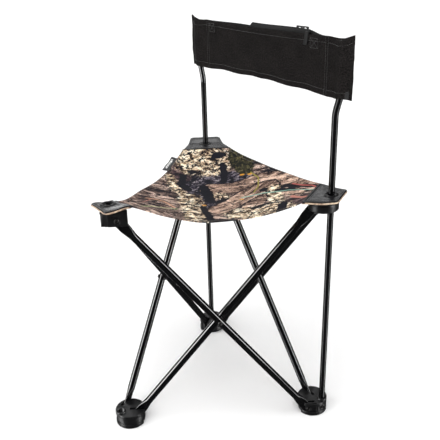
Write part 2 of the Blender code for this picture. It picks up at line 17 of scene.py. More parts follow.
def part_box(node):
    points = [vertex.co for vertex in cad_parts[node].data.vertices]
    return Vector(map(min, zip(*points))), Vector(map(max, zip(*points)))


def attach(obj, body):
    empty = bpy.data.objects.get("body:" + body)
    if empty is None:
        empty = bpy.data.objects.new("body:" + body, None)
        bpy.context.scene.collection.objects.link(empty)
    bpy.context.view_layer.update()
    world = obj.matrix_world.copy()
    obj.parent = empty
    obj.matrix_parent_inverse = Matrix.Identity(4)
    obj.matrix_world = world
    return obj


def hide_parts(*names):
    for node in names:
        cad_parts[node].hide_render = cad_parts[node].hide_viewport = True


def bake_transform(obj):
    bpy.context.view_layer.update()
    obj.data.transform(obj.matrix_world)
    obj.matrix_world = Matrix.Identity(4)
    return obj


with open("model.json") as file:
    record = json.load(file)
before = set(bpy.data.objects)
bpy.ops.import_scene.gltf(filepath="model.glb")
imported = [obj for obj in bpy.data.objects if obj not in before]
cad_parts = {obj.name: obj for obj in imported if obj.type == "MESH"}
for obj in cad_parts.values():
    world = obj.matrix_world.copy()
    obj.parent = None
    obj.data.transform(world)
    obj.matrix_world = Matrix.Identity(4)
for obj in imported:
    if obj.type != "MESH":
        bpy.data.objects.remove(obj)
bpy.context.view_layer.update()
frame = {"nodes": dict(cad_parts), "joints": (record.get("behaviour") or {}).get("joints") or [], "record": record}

# Places worked out from the frame
JOINTS = {joint["name"]: joint for joint in frame["joints"]}
BODY_OF = {node: body for body, nodes in frame["record"]["behaviour"]["bodies"].items() for node in nodes}
SIDE_MIDDLE = Vector(JOINTS["left_front_crossing"]["pos_m"])
BACK_MIDDLE = Vector(JOINTS["right_left_crossing"]["pos_m"])
CORNER_R = -2 * SIDE_MIDDLE.x / math.cos(math.radians(30))
MIDDLE = Vector((0, BACK_MIDDLE.y - CORNER_R / 2, 0))
HUB_PIN_Z = JOINTS["front_hub_level"]["pos_m"][2]
POST_Y = JOINTS["back_panel_right_fold"]["pos_m"][1]
SEAM_X = JOINTS["back_panel_right_fold"]["pos_m"][0]
POST_X = sum(end.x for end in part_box("grommet_right")) / 2
SEAT_LEVEL = JOINTS["seat_front_toward_right_hang"]["pos_m"][2]
HINGE_R = MIDDLE.y - JOINTS["seat_front_toward_right_hang"]["pos_m"][1]
BAND_LOW, BAND_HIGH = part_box("back_panel_right")[0].z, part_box("back_panel_right")[1].z
BAND_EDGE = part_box("back_sleeve_right")[1].x
POST_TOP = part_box("post_cap_right")[1].z

CORNERS = ("front", "right", "left")
BEARING = {"front": -90, "right": 30, "left": 150}
SIDES = (("right", 1), ("left", -1))

# Sizes of the visible shapes
TUBE_R = 0.0075
POST_R = 0.006
FLAT_HALF_THICK = 0.0024
FLAT_HALF_WIDTH = 0.0105
FLAT_REACH = 0.0192  # how far a tube's flattened end runs on from its pin
TAPER_REACH = 0.046
PIN_HEAD = 0.0021
PUCK_R = 0.030
PUCK_IN = 0.0245  # a foot's middle, in from its corner line
FOOT_BANDS = ((0.0006, 0.0085), (0.0222, 0.0297))  # the low and high edge of each raised band round a foot
FOOT_BAND_PROUD = 0.0009
FOOT_BAND_SPREAD = math.radians(118)  # how far round the foot a band runs, either way from its outer side
POST_BEND_Z = 0.640
POST_TURN_Z = 0.674
POST_LEAN = math.radians(18)
BEND_SOFT = 0.009
WING = 0.055  # half the width of the canvas where it leaves a patch
EDGE_OUT = {"front right": 0.034, "right left": 0.028, "left front": 0.022}
EDGE_SAG = {"front right": 0.023, "right left": 0.006, "left front": 0.031}
MIDDLE_SAG = 0.038
SEAT_RIPPLE = 0.0012
SEAT_FOLD = 0.0016  # the soft folds that fan out of the patches
PATCH_WAVE = 0.0007
CORNER_LIFT = {"right": 0.002, "left": 0.010}  # how far a rear corner's outer edge turns up
FRONT_IN, FRONT_DOWN = 0.021, 0.008  # how far the front corner's far flank is drawn in, and how far it hangs
FRONT_UP = 0.009  # how far its near flank lifts
CLOTH_HALF = 0.0006
HEM_HALF = 0.0011
HEM_WIDTH = 0.010
TAG_LENGTH = 0.050
TAG_ALONG = 0.35  # the tag's middle, as a share of the way from the left patch to the middle of its side
PATCH_INNER = 0.018  # how far in from a patch's outline its top starts to close on the hole
PATCH_HOLE_R = 0.0088
PATCH_LEVELS = (
    (0.0, 0.0004), (0.0, 0.0016), (0.0007, 0.0021), (0.0042, 0.0021), (0.0050, 0.0016), (0.0060, 0.0016),
    (0.012, 0.0018), (PATCH_INNER, 0.0019),
)  # insets from the patch's outline, and the heights there
BAND_TALL = BAND_HIGH - BAND_LOW
BAND_HALF = 0.0008
BAND_DIP = 0.0030  # how far the band's edges curve in at its middle
BAND_TIP = 0.0065
BAND_DENT = 0.0022
BAND_FOLD, BAND_RUMPLE, BAND_PUCKER = 0.0022, 0.0011, 0.0016
SLEEVE_SEAM = SEAM_X + 0.0006
BOX_X = {1: SEAM_X - 0.032, -1: SEAM_X - 0.0165}  # the sewn boxes' distance from the middle, by side
BOX_Z = BAND_HIGH - 0.0145
BOX_HALF = 0.0095
STRAP_HALF = 0.0123
STRAP_HALF_THICK = 0.0008
BUCKLE_SHIFT = Vector((0.016, 0.0006, 0))  # the buckle's move along its strap
STRAP_RISE = 0.0066
TAIL_SHIFT = 0.031  # the strap's loose end, right of the CAD buckle
TAIL_HALF = 0.0048
THREAD_R = 0.00032
STITCH = 0.0042

# The camera: where it stands from the middle of the stool's floor, its angles in degrees, and its lens in mm
CAMERA_FROM = Vector((0.99534, -0.64808, 0.91144))
CAMERA_AZIMUTH = 56.297
CAMERA_ELEVATION = 23.376
CAMERA_ROLL = -1.5365
CAMERA_LENS = 51.97

# Places across cloth where its rows of points lie, close together where it bends sharply
HEM_GAPS = (HEM_WIDTH + 0.0012, HEM_WIDTH, 0.0055, 0.0026, 0.0012, 0.0005, 0.00012, 0.0)
BAND_GAPS = (0.0, 0.0004, 0.0015, 0.006, 0.0115, 0.0125)
TAG_REACHES = (-0.003, -0.0026, 0.0, 0.003, 0.006, 0.009, 0.012, 0.0132, 0.0136)
STRAP_SHARES = (-1.0, -0.985, -0.94, -0.5, 0.0, 0.5, 0.94, 0.985, 1.0)
TAIL_SHARES = (-1.0, -0.9, 0.0, 0.9, 1.0)


def outward(bearing):
    """The level way that points at this bearing, in degrees from +X towards +Y."""
    angle = math.radians(bearing)
    return Vector((math.cos(angle), math.sin(angle), 0))


def corner_place(corner, height):
    """The corner's frame: X away from the middle of the stool, Z up, its origin on the corner line."""
    origin = MIDDLE + outward(BEARING[corner]) * CORNER_R
    origin.z = height
    return Matrix.Translation(origin) @ Matrix.Rotation(math.radians(BEARING[corner]), 4, "Z")


def centre(node):
    """The middle of a frame node's box."""
    low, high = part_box(node)
    return (low + high) / 2


def smooth(low, high, value):
    """0 at low and 1 at high, eased at both ends. Low may be the greater."""
    share = min(1.0, max(0.0, (value - low) / (high - low)))
    return share * share * (3 - 2 * share)


def bell(distance, width):
    """1 at no distance, falling away to nothing over about two widths."""
    return math.exp(-((distance / width) ** 2))


# ---------------------------------------------------------------- materials


class Paint:
    """One procedural material, built node by node. Each method returns the socket that holds its result."""

    def __init__(self, name, attribute=None):
        self.material = bpy.data.materials.new(name)
        self.material.use_nodes = True
        self.tree = self.material.node_tree
        self.shader = self.tree.nodes["Principled BSDF"]
        if attribute:
            source = self.add("ShaderNodeAttribute", attribute_name=attribute)
            self.where = source.outputs["Vector"]
        else:
            self.where = self.add("ShaderNodeTexCoord").outputs["Object"]

    def add(self, kind, **settings):
        node = self.tree.nodes.new(kind)
        for name, value in settings.items():
            setattr(node, name, value)
        return node

    def wire(self, value, socket):
        if isinstance(value, bpy.types.NodeSocket):
            self.tree.links.new(value, socket)
        elif socket.type == "RGBA":
            socket.default_value = (*value, 1) if len(value) == 3 else value
        else:
            socket.default_value = value

    def math(self, operation, *values, clamp=False):
        node = self.add("ShaderNodeMath", operation=operation, use_clamp=clamp)
        for value, socket in zip(values, node.inputs):
            self.wire(value, socket)
        return node.outputs[0]

    def vector(self, operation, *values, result="Vector"):
        node = self.add("ShaderNodeVectorMath", operation=operation)
        for value, socket in zip(values, node.inputs):
            self.wire(value, socket)
        return node.outputs[result]

    def turned(self, degrees, stretch=(1, 1, 1), where=None):
        """The coordinates turned about Z and stretched, for grain that runs one way."""
        node = self.add("ShaderNodeMapping", vector_type="TEXTURE")
        self.wire(where or self.where, node.inputs["Vector"])
        node.inputs["Rotation"].default_value = (0, 0, math.radians(degrees))
        node.inputs["Scale"].default_value = stretch
        return node.outputs[0]

    def noise(self, scale, detail=3.0, rough=0.5, distortion=0.0, where=None):
        node = self.add("ShaderNodeTexNoise")
        settings = {"Scale": scale, "Detail": detail, "Roughness": rough, "Distortion": distortion}
        for name, value in settings.items():
            node.inputs[name].default_value = value
        self.wire(where or self.where, node.inputs["Vector"])
        return node.outputs[0]

    def cells(self, scale, feature="F1", where=None, result="Distance"):
        node = self.add("ShaderNodeTexVoronoi", feature=feature)
        node.inputs["Scale"].default_value = scale
        self.wire(where or self.where, node.inputs["Vector"])
        return node.outputs[result]

    def wave(self, scale, direction, distortion=0.0, where=None):
        node = self.add("ShaderNodeTexWave", bands_direction=direction)
        node.inputs["Scale"].default_value = scale
        node.inputs["Distortion"].default_value = distortion
        self.wire(where or self.where, node.inputs["Vector"])
        return node.outputs["Fac"]

    def step(self, value, low, high):
        """0 below low and 1 above high, smooth between. Low may be above high, which turns it round."""
        node = self.add("ShaderNodeMapRange", interpolation_type="SMOOTHSTEP")
        self.wire(value, node.inputs["Value"])
        ends = (low, high, 0.0, 1.0) if low < high else (high, low, 1.0, 0.0)
        for name, end in zip(("From Min", "From Max", "To Min", "To Max"), ends):
            node.inputs[name].default_value = end
        return node.outputs[0]

    def span(self, value, low, high):
        """A factor from 0 to 1 spread over low to high."""
        return self.math("MULTIPLY_ADD", value, high - low, low)

    def ramp(self, factor, stops):
        node = self.add("ShaderNodeValToRGB")
        self.wire(factor, node.inputs[0])
        elements = node.color_ramp.elements
        while len(elements) < len(stops):
            elements.new(0.5)
        for element, (position, colour) in zip(elements, stops):
            element.position = position
            element.color = (*colour, 1)
        return node.outputs[0]

    def mix(self, factor, low, high):
        node = self.add("ShaderNodeMix", data_type="RGBA")
        for value, index in ((factor, 0), (low, 6), (high, 7)):
            self.wire(value, node.inputs[index])
        return node.outputs[2]

    def bump(self, height, distance, strength=1.0, under=None):
        node = self.add("ShaderNodeBump")
        node.inputs["Strength"].default_value = strength
        node.inputs["Distance"].default_value = distance
        self.wire(height, node.inputs["Height"])
        if under:
            self.wire(under, node.inputs["Normal"])
        return node.outputs[0]

    def finish(self, colour, roughness, normal=None, **constants):
        self.wire(colour, self.shader.inputs["Base Color"])
        self.wire(roughness, self.shader.inputs["Roughness"])
        if normal:
            self.wire(normal, self.shader.inputs["Normal"])
        for name, value in constants.items():
            self.shader.inputs[name.replace("_", " ")].default_value = value
        return self.material


def powder_coat():
    """Gloss black coat on the tubes: faint orange peel, dust and rubbed spots."""
    paint = Paint("powder_coat")
    cloudy = paint.noise(38, 4, 0.6)
    scuffs = paint.step(paint.noise(95, 6, 0.75, 0.4), 0.66, 0.74)
    colour = paint.mix(scuffs, (0.0018, 0.0018, 0.0021), (0.008, 0.008, 0.009))
    roughness = paint.math("MULTIPLY_ADD", scuffs, 0.10, paint.span(cloudy, 0.05, 0.13))
    peel = paint.bump(paint.noise(620, 2), 0.00006, 0.5)
    return paint.finish(colour, roughness, peel, Specular_IOR_Level=0.42)


def moulded_plastic():
    """Black moulded nylon: fine pebble grain, paler where edges are rubbed, with rounded edges."""
    paint = Paint("moulded_plastic")
    cloudy = paint.noise(60, 5, 0.65)
    rubbed = paint.step(paint.noise(210, 5, 0.7), 0.58, 0.75)
    colour = paint.mix(rubbed, (0.0045, 0.0045, 0.005), (0.015, 0.015, 0.016))
    edge = paint.add("ShaderNodeBevel", samples=4)
    edge.inputs["Radius"].default_value = 0.0005
    grain = paint.bump(paint.noise(1700, 3, 0.6), 0.00008, 0.6, edge.outputs[0])
    return paint.finish(colour, paint.span(cloudy, 0.24, 0.44), grain, Specular_IOR_Level=0.32)


def plated_steel():
    """Dark plated steel on pins and rivets, with turning marks and tarnish."""
    paint = Paint("plated_steel")
    tarnish = paint.step(paint.noise(420, 5, 0.7), 0.42, 0.66)
    colour = paint.mix(tarnish, (0.060, 0.059, 0.058), (0.020, 0.0195, 0.019))
    marks = paint.bump(paint.noise(2400, 2), 0.00003, 0.5)
    return paint.finish(colour, paint.span(paint.noise(300, 3), 0.26, 0.48), marks, Metallic=1.0)


def washer_nylon():
    """Dull nylon on the spacers between crossing tubes."""
    paint = Paint("washer_nylon")
    dust = paint.noise(350, 4, 0.6)
    colour = paint.mix(dust, (0.020, 0.020, 0.021), (0.060, 0.058, 0.055))
    return paint.finish(colour, paint.span(dust, 0.35, 0.6), paint.bump(dust, 0.0001, 0.4))


def band_canvas():
    """Black canvas with a coarse, speckled weave, over the cloth's own flat coordinates."""
    paint = Paint("band_cloth", "flat")
    weave_scale = 54.82
    over = paint.math("MULTIPLY", paint.wave(weave_scale, "X", 0.6), paint.wave(weave_scale, "Y", 0.6))
    speckle = paint.noise(360, 4, 0.75)
    cloudy = paint.noise(24, 4, 0.6)
    shade = paint.math("ADD", paint.math("MULTIPLY", speckle, 0.85), paint.math("MULTIPLY", cloudy, 0.15))
    colour = paint.ramp(shade, [(0.42, (0.0014, 0.0011, 0.0011)), (0.60, (0.0175, 0.0148, 0.0140))])
    slub = paint.bump(paint.noise(230, 4, 0.7), 0.0007, 0.5)
    weave = paint.bump(paint.math("ADD", over, speckle), 0.00022, 0.8, slub)
    return paint.finish(colour, paint.span(speckle, 0.74, 0.94), weave, Specular_IOR_Level=0.05)


def ribbed_webbing():
    """Black polyester webbing, ribbed along its length."""
    paint = Paint("ribbed_webbing", "flat")
    ribs = paint.wave(95, "Y")
    picks = paint.wave(260, "X")
    fuzz = paint.noise(900, 3, 0.7)
    stops = [(0.1, (0.003, 0.003, 0.003)), (0.6, (0.013, 0.013, 0.013))]
    colour = paint.ramp(paint.math("MULTIPLY", ribs, fuzz), stops)
    height = paint.math("ADD", ribs, paint.math("MULTIPLY", picks, 0.4))
    bump = paint.bump(height, 0.0003, 0.8)
    return paint.finish(colour, paint.span(fuzz, 0.55, 0.8), bump, Specular_IOR_Level=0.15)


def coated_vinyl():
    """Glossy black coated cloth on the seat's corners, creased and faintly pebbled."""
    paint = Paint("coated_vinyl", "flat")
    creases = paint.noise(70, 5, 0.65, 0.6)
    pebble = paint.cells(900)
    dust = paint.step(paint.noise(160, 5, 0.7), 0.5, 0.75)
    colour = paint.mix(dust, (0.005, 0.005, 0.006), (0.016, 0.016, 0.018))
    wide = paint.bump(creases, 0.0016, 0.55)
    fine = paint.bump(pebble, 0.00012, 0.5, wide)
    return paint.finish(colour, paint.span(creases, 0.14, 0.34), fine, Specular_IOR_Level=0.45)


def thread_paint(name, colour):
    """Sewing thread in this colour, with a fine twist."""
    paint = Paint(name)
    twist = paint.noise(1500, 2)
    dark = tuple(channel * 0.45 for channel in colour)
    return paint.finish(paint.mix(twist, dark, colour), 0.6, paint.bump(twist, 0.0001, 0.6), Sheen_Weight=0.2)


def label_cloth():
    """A satin label: a pale, spotted strip along its middle, with black edges and ends."""
    paint = Paint("label_cloth", "flat")
    parts = paint.add("ShaderNodeSeparateXYZ")
    paint.wire(paint.where, parts.inputs[0])
    along = paint.math("ABSOLUTE", parts.outputs[0])
    reach = parts.outputs[1]
    speckle = paint.noise(900, 3, 0.6)
    spots = paint.step(paint.noise(260, 2), 0.40, 0.52)
    borders = paint.math("MAXIMUM", paint.step(reach, 0.0062, 0.0050), paint.step(reach, 0.0102, 0.0112))
    dark = paint.math("MAXIMUM", paint.step(along, 0.0165, 0.0180), borders)
    pale = paint.mix(spots, (0.06, 0.06, 0.06), (0.66, 0.66, 0.65))
    colour = paint.mix(dark, pale, (0.008, 0.008, 0.009))
    return paint.finish(colour, paint.span(speckle, 0.45, 0.65), paint.bump(speckle, 0.0002, 0.6))


class Camo(Paint):
    """The seat's print: bark, branches, leaves, moss and twigs, laid out over the seat's plan in metres."""

    BARK = [
        (0.445, (0.010, 0.008, 0.012)),
        (0.475, (0.075, 0.050, 0.048)),
        (0.51, (0.230, 0.155, 0.132)),
        (0.555, (0.450, 0.325, 0.270)),
        (0.605, (0.850, 0.690, 0.580)),
    ]
    LIMB = [
        (0.41, (0.020, 0.014, 0.015)),
        (0.465, (0.190, 0.120, 0.094)),
        (0.52, (0.440, 0.305, 0.235)),
        (0.60, (0.820, 0.630, 0.510)),
    ]
    STONE = [
        (0.43, (0.012, 0.011, 0.022)),
        (0.49, (0.080, 0.070, 0.096)),
        (0.56, (0.230, 0.200, 0.230)),
        (0.65, (0.620, 0.560, 0.560)),
    ]
    LEAF = [
        (0.42, (0.009, 0.008, 0.010)),
        (0.45, (0.140, 0.092, 0.062)),
        (0.48, (0.440, 0.310, 0.205)),
        (0.52, (0.850, 0.710, 0.520)),
        (0.58, (0.960, 0.900, 0.760)),
    ]
    MOSS = [
        (0.46, (0.008, 0.009, 0.007)),
        (0.53, (0.045, 0.042, 0.018)),
        (0.60, (0.120, 0.104, 0.042)),
        (0.70, (0.380, 0.320, 0.160)),
    ]
    PLUM = [
        (0.42, (0.012, 0.008, 0.014)),
        (0.50, (0.070, 0.044, 0.050)),
        (0.58, (0.170, 0.110, 0.110)),
        (0.68, (0.440, 0.300, 0.280)),
    ]
    INK = (0.009, 0.009, 0.017)

    def __init__(self, name):
        super().__init__(name, "flat")
        self.ragged = self.noise(115, 5, 0.72)
        self.fine = self.noise(420, 4, 0.75)
        self.colour = self.ramp(self.grain(35, 62), self.BARK)

    def grain(self, degrees, scale, stretch=5.0):
        """Fibres that run at this bearing."""
        where = self.turned(degrees, (stretch, 1, 1))
        fibres = self.noise(scale, 9, 0.74, 0.9, where)
        fine = self.math("MULTIPLY_ADD", self.fine, 0.40, -0.20)
        return self.math("ADD", fibres, fine)

    def torn(self, inside, rag):
        """The same reach inside a shape, with the shape's edge made ragged."""
        return self.math("ADD", inside, self.math("MULTIPLY_ADD", self.ragged, rag, -rag / 2))

    def patch(self, x, y, long, short, degrees, rag=0.9):
        """How far inside an oval a point is, with a ragged edge: above 0 is inside."""
        node = self.add("ShaderNodeMapping", vector_type="TEXTURE")
        self.wire(self.where, node.inputs["Vector"])
        node.inputs["Location"].default_value = (x, y, 0)
        node.inputs["Rotation"].default_value = (0, 0, math.radians(degrees))
        node.inputs["Scale"].default_value = (long, short, 1)
        inside = self.math("SUBTRACT", 1.0, self.vector("LENGTH", node.outputs[0], result="Value"))
        return self.torn(inside, rag)

    def stroke(self, points, width, rag=1.0):
        """How far inside a line through these points a point is, in widths: above 0 is inside."""
        nearest = None
        for start, end in zip(points, points[1:]):
            start, end = Vector((*start, 0)), Vector((*end, 0))
            run = end - start
            offset = self.vector("SUBTRACT", self.where, tuple(start))
            share = self.vector("DOT_PRODUCT", offset, tuple(run / run.length_squared), result="Value")
            share = self.math("MULTIPLY", share, 1.0, clamp=True)
            foot = self.add("ShaderNodeVectorMath", operation="SCALE")
            foot.inputs[0].default_value = tuple(run)
            self.wire(share, foot.inputs["Scale"])
            gap = self.vector("DISTANCE", offset, foot.outputs[0], result="Value")
            nearest = gap if nearest is None else self.math("MINIMUM", nearest, gap)
        inside = self.math("MULTIPLY_ADD", nearest, -1 / width, 1.0)
        return self.torn(inside, rag)

    def warped(self, amount, where):
        """The coordinates pushed about by noise, so that cells lose their straight edges."""
        node = self.add("ShaderNodeTexNoise")
        node.inputs["Scale"].default_value = 38
        node.inputs["Detail"].default_value = 5
        self.wire(self.where, node.inputs["Vector"])
        scaled = self.add("ShaderNodeVectorMath", operation="SCALE")
        scaled.inputs["Scale"].default_value = amount
        self.wire(node.outputs["Color"], scaled.inputs[0])
        return self.vector("ADD", where, scaled.outputs[0])

    def lay(self, mask, colour):
        """Lays a colour over the print where the mask is 1."""
        self.colour = self.mix(mask, self.colour, colour)

    def lay_stops(self, mask, factor, stops):
        """Lays a ramp over the print where the mask is 1, its colours picked by the factor."""
        self.lay(mask, self.ramp(factor, stops))


def lay_bark(camo):
    """Hollows in the bark, a violet stone trunk behind the middle, and reddish bark by the right corner."""
    hollows = camo.noise(30, 9, 0.76, 0.8, camo.turned(40, (2.4, 1, 1)))
    camo.lay(camo.step(hollows, 0.555, 0.580), camo.INK)
    cracks = camo.cells(80, "DISTANCE_TO_EDGE", camo.warped(0.024, camo.turned(60, (1.7, 1, 1))))
    trunk = camo.patch(-0.064, 0.046, 0.082, 0.038, 62)
    foot = camo.stroke([(-0.085, 0.000), (-0.040, -0.012), (0.005, -0.022), (0.045, -0.034)], 0.019, 1.2)
    for shape in (trunk, foot):
        camo.lay_stops(camo.step(shape, -0.02, 0.06), camo.grain(62, 74, 1.8), camo.STONE)
        camo.lay(camo.math("MULTIPLY", camo.step(shape, 0.0, 0.08), camo.step(cracks, 0.13, 0.05)), camo.INK)
    plum = camo.patch(0.172, 0.058, 0.052, 0.034, 70, 0.8)
    camo.lay_stops(camo.step(plum, 0.0, 0.12), camo.grain(70, 60, 3.0), camo.PLUM)
    shadow = camo.patch(-0.135, 0.010, 0.042, 0.020, -12, 0.8)
    camo.lay_stops(camo.step(shadow, 0.0, 0.12), camo.grain(20, 60, 2.0), camo.PLUM)


def lay_limbs(camo):
    """Two tan limbs that part in front of the middle, with a dark gap between them."""
    upper = [(-0.034, 0.020), (-0.004, 0.066), (0.016, 0.112), (0.060, 0.142), (0.130, 0.150), (0.200, 0.128)]
    lower = [(0.074, -0.036), (0.052, 0.018), (0.040, 0.064), (0.050, 0.100)]
    inner = [(0.104, 0.020), (0.076, 0.064), (0.080, 0.096), (0.140, 0.118)]
    for points, width, bearing in ((inner, 0.020, 60), (upper, 0.026, 50), (lower, 0.024, 98)):
        limb = camo.stroke(points, width, 0.7)
        camo.lay(camo.step(limb, -0.16, -0.08), camo.INK)
        camo.lay_stops(camo.step(limb, 0.0, 0.08), camo.grain(bearing, 58, 4.5), camo.LIMB)
    gap = camo.stroke([(0.052, 0.086), (0.082, 0.120), (0.124, 0.134), (0.170, 0.136)], 0.0075, 1.1)
    camo.lay(camo.step(gap, 0.0, 0.10), camo.INK)


def lay_litter(camo):
    """Pale leaf litter by the rear left patch, down the spine to the front edge, and at the front's right."""
    beds = [
        camo.patch(-0.144, 0.074, 0.070, 0.062, 40, 0.9),
        camo.patch(0.148, 0.004, 0.068, 0.048, 40, 1.2),
        camo.patch(0.006, 0.014, 0.024, 0.016, 20, 0.9),
        camo.stroke([(-0.140, -0.018), (-0.085, -0.038), (-0.020, -0.042)], 0.011, 1.5),
        camo.stroke([(-0.020, -0.042), (0.060, -0.078), (0.120, -0.104), (0.170, -0.105)], 0.026, 1.5),
        camo.stroke([(0.066, 0.104), (0.092, 0.082), (0.120, 0.066), (0.165, 0.040)], 0.015, 1.5),
    ]
    plates = camo.noise(62, 10, 0.78, 0.5, camo.turned(28, (1.4, 1, 1)))
    splits = camo.cells(54, "DISTANCE_TO_EDGE", camo.warped(0.034, camo.turned(70, (1.9, 1, 1))))
    broken = camo.math("MULTIPLY", camo.step(splits, 0.11, 0.05), camo.step(camo.ragged, 0.44, 0.50))
    for bed in beds:
        inside = camo.step(bed, 0.0, 0.08)
        camo.lay_stops(inside, plates, camo.LEAF)
        camo.lay(camo.math("MULTIPLY", broken, inside), camo.INK)
    gaps = camo.noise(40, 10, 0.78, 0.8, camo.turned(118, (2.2, 1, 1)))
    camo.lay(camo.step(gaps, 0.575, 0.595), camo.INK)


def lay_shade(camo):
    """Thin cracks all over, navy shade between the pieces, a round knot, and moss along the back edge."""
    veins = camo.cells(36, "DISTANCE_TO_EDGE", camo.warped(0.060, camo.turned(42, (3.2, 1, 1))))
    cracked = camo.math("MULTIPLY", camo.step(veins, 0.060, 0.025), camo.step(camo.ragged, 0.47, 0.52))
    camo.lay(cracked, camo.INK)
    moss = camo.patch(-0.088, 0.134, 0.066, 0.027, -22, 0.9)
    camo.lay_stops(camo.step(moss, 0.0, 0.12), camo.grain(150, 110, 1.5), camo.MOSS)
    shades = [
        camo.patch(-0.142, 0.112, 0.019, 0.013, 60, 0.7),
        camo.patch(0.148, -0.066, 0.032, 0.020, 20, 1.2),
        camo.patch(-0.125, 0.030, 0.012, 0.007, 40, 0.8),
        camo.patch(0.030, 0.000, 0.022, 0.008, 100, 1.2),
        camo.patch(0.100, 0.108, 0.026, 0.010, 20, 1.2),
        camo.patch(0.120, 0.030, 0.026, 0.008, 80, 1.4),
        camo.stroke([(-0.122, 0.006), (-0.094, -0.018), (-0.060, -0.020)], 0.009, 1.4),
        camo.stroke([(-0.108, 0.098), (-0.078, 0.082), (-0.050, 0.062)], 0.008, 1.4),
        camo.stroke([(-0.052, 0.012), (-0.018, 0.000), (0.014, -0.016)], 0.012, 1.4),
        camo.stroke([(0.040, -0.050), (0.086, -0.068), (0.150, -0.096), (0.190, -0.100)], 0.0075, 1.8),
        camo.stroke([(0.160, 0.050), (0.196, 0.012)], 0.010, 1.6),
    ]
    for shade in shades:
        camo.lay(camo.step(shade, 0.03, 0.11), camo.INK)


def lay_twigs(camo):
    """Thin grass blades, twigs and a few berries."""
    lines = (
        ([(0.044, 0.040), (0.064, 0.078), (0.106, 0.108), (0.172, 0.122)], 0.0024, (0.250, 0.430, 0.360)),
        ([(-0.030, 0.118), (0.004, 0.112), (0.030, 0.092), (0.044, 0.070)], 0.0018, (0.300, 0.260, 0.070)),
        ([(0.090, 0.132), (0.140, 0.138), (0.190, 0.122)], 0.0022, (0.420, 0.130, 0.110)),
        ([(0.140, 0.088), (0.170, 0.082), (0.200, 0.090)], 0.0050, (0.500, 0.240, 0.190)),
        ([(-0.044, -0.120), (-0.034, -0.160), (-0.010, -0.190)], 0.0022, (0.440, 0.200, 0.160)),
        ([(0.012, -0.190), (0.004, -0.140), (0.030, -0.100)], 0.0024, (0.420, 0.440, 0.250)),
        ([(-0.060, -0.120), (-0.020, -0.100), (0.020, -0.100)], 0.0024, (0.540, 0.330, 0.220)),
    )
    for points, width, colour in lines:
        camo.lay(camo.step(camo.stroke(points, width, 1.3), 0.0, 0.3), colour)
    for x, y in ((0.030, -0.040), (0.052, 0.034), (-0.040, 0.102), (-0.026, 0.112)):
        camo.lay(camo.step(camo.patch(x, y, 0.0055, 0.0035, 40, 1.0), 0.0, 0.2), (0.640, 0.330, 0.040))


def camo_canvas():
    """The seat's printed canvas, with a fine weave and slubs."""
    camo = Camo("camo_canvas")
    lay_bark(camo)
    lay_limbs(camo)
    lay_litter(camo)
    lay_shade(camo)
    lay_twigs(camo)
    deeper = camo.add("ShaderNodeGamma")
    deeper.inputs["Gamma"].default_value = 1.20
    camo.wire(camo.colour, deeper.inputs["Color"])
    weave = camo.bump(camo.math("MULTIPLY", camo.wave(120, "X"), camo.wave(120, "Y")), 0.00015, 0.6)
    slub = camo.bump(camo.noise(60, 4, 0.6), 0.0012, 0.5, weave)
    roughness = camo.span(camo.fine, 0.62, 0.86)
    return camo.finish(deeper.outputs["Color"], roughness, slub, Specular_IOR_Level=0.12)


def hem_canvas():
    """The tan folded edge of the canvas that shows under the corner patches."""
    paint = Paint("hem_canvas")
    patches = paint.noise(75, 5, 0.7)
    stops = [
        (0.32, (0.050, 0.035, 0.026)),
        (0.46, (0.350, 0.230, 0.150)),
        (0.62, (0.720, 0.570, 0.400)),
    ]
    threads = paint.noise(1300, 2)
    return paint.finish(paint.ramp(patches, stops), 0.8, paint.bump(threads, 0.0002, 0.7), Sheen_Weight=0.1)


# ---------------------------------------------------------------- mesh tools


def piece(name, shape, paint, node=None, body=None, sharp=38):
    """Makes a shown object from a bmesh in the frame's own metres, and lets it ride on its body."""
    bmesh.ops.recalc_face_normals(shape, faces=shape.faces)
    mesh = bpy.data.meshes.new(name)
    shape.to_mesh(mesh)
    shape.free()
    mesh.shade_smooth()
    mesh.set_sharp_from_angle(angle=math.radians(sharp))
    mesh.materials.append(paint)
    obj = bpy.data.objects.new(name, mesh)
    bpy.context.scene.collection.objects.link(obj)
    if node:
        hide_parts(node)
        body = BODY_OF[node]
    if body:
        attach(obj, body)
    return obj


def loft(loops, shape=None, caps=True):
    """Skins loops of points, each with the same count, into a bmesh."""
    shape = shape or bmesh.new()
    rows = [[shape.verts.new(point) for point in loop] for loop in loops]
    for low, high in zip(rows, rows[1:]):
        for index in range(len(low)):
            after = (index + 1) % len(low)
            shape.faces.new((low[index], low[after], high[after], high[index]))
    if caps:
        shape.faces.new(rows[0])
        shape.faces.new(rows[-1])
    return shape


def lathe(profile, place, sides=40):
    """Turns a (radius, height) profile about the place's own Z."""
    loops = []
    for radius, height in profile:
        angles = [2 * math.pi * count / sides for count in range(sides)]
        loops.append([place @ Vector((radius * math.cos(a), radius * math.sin(a), height)) for a in angles])
    return loft(loops)


def frame_of(axis):
    """A turn whose Z is this axis."""
    return axis.to_track_quat("Z", "Y").to_matrix().to_4x4()


def rod(points, radius, sides=32, shape=None, domed=False):
    """A round bar along a path, its ends flat or domed."""
    loops = []
    across = frame_of(points[1] - points[0]).col[0].to_3d()
    for index, point in enumerate(points):
        ahead = points[min(index + 1, len(points) - 1)] - points[max(index - 1, 0)]
        ahead.normalize()
        across = (across - ahead * across.dot(ahead)).normalized()
        up = ahead.cross(across)
        width = radius
        if domed and index in (0, len(points) - 1):
            width = radius * 0.35
        angles = [2 * math.pi * count / sides for count in range(sides)]
        loops.append([point + (across * math.cos(a) + up * math.sin(a)) * width for a in angles])
    return loft(loops, shape)


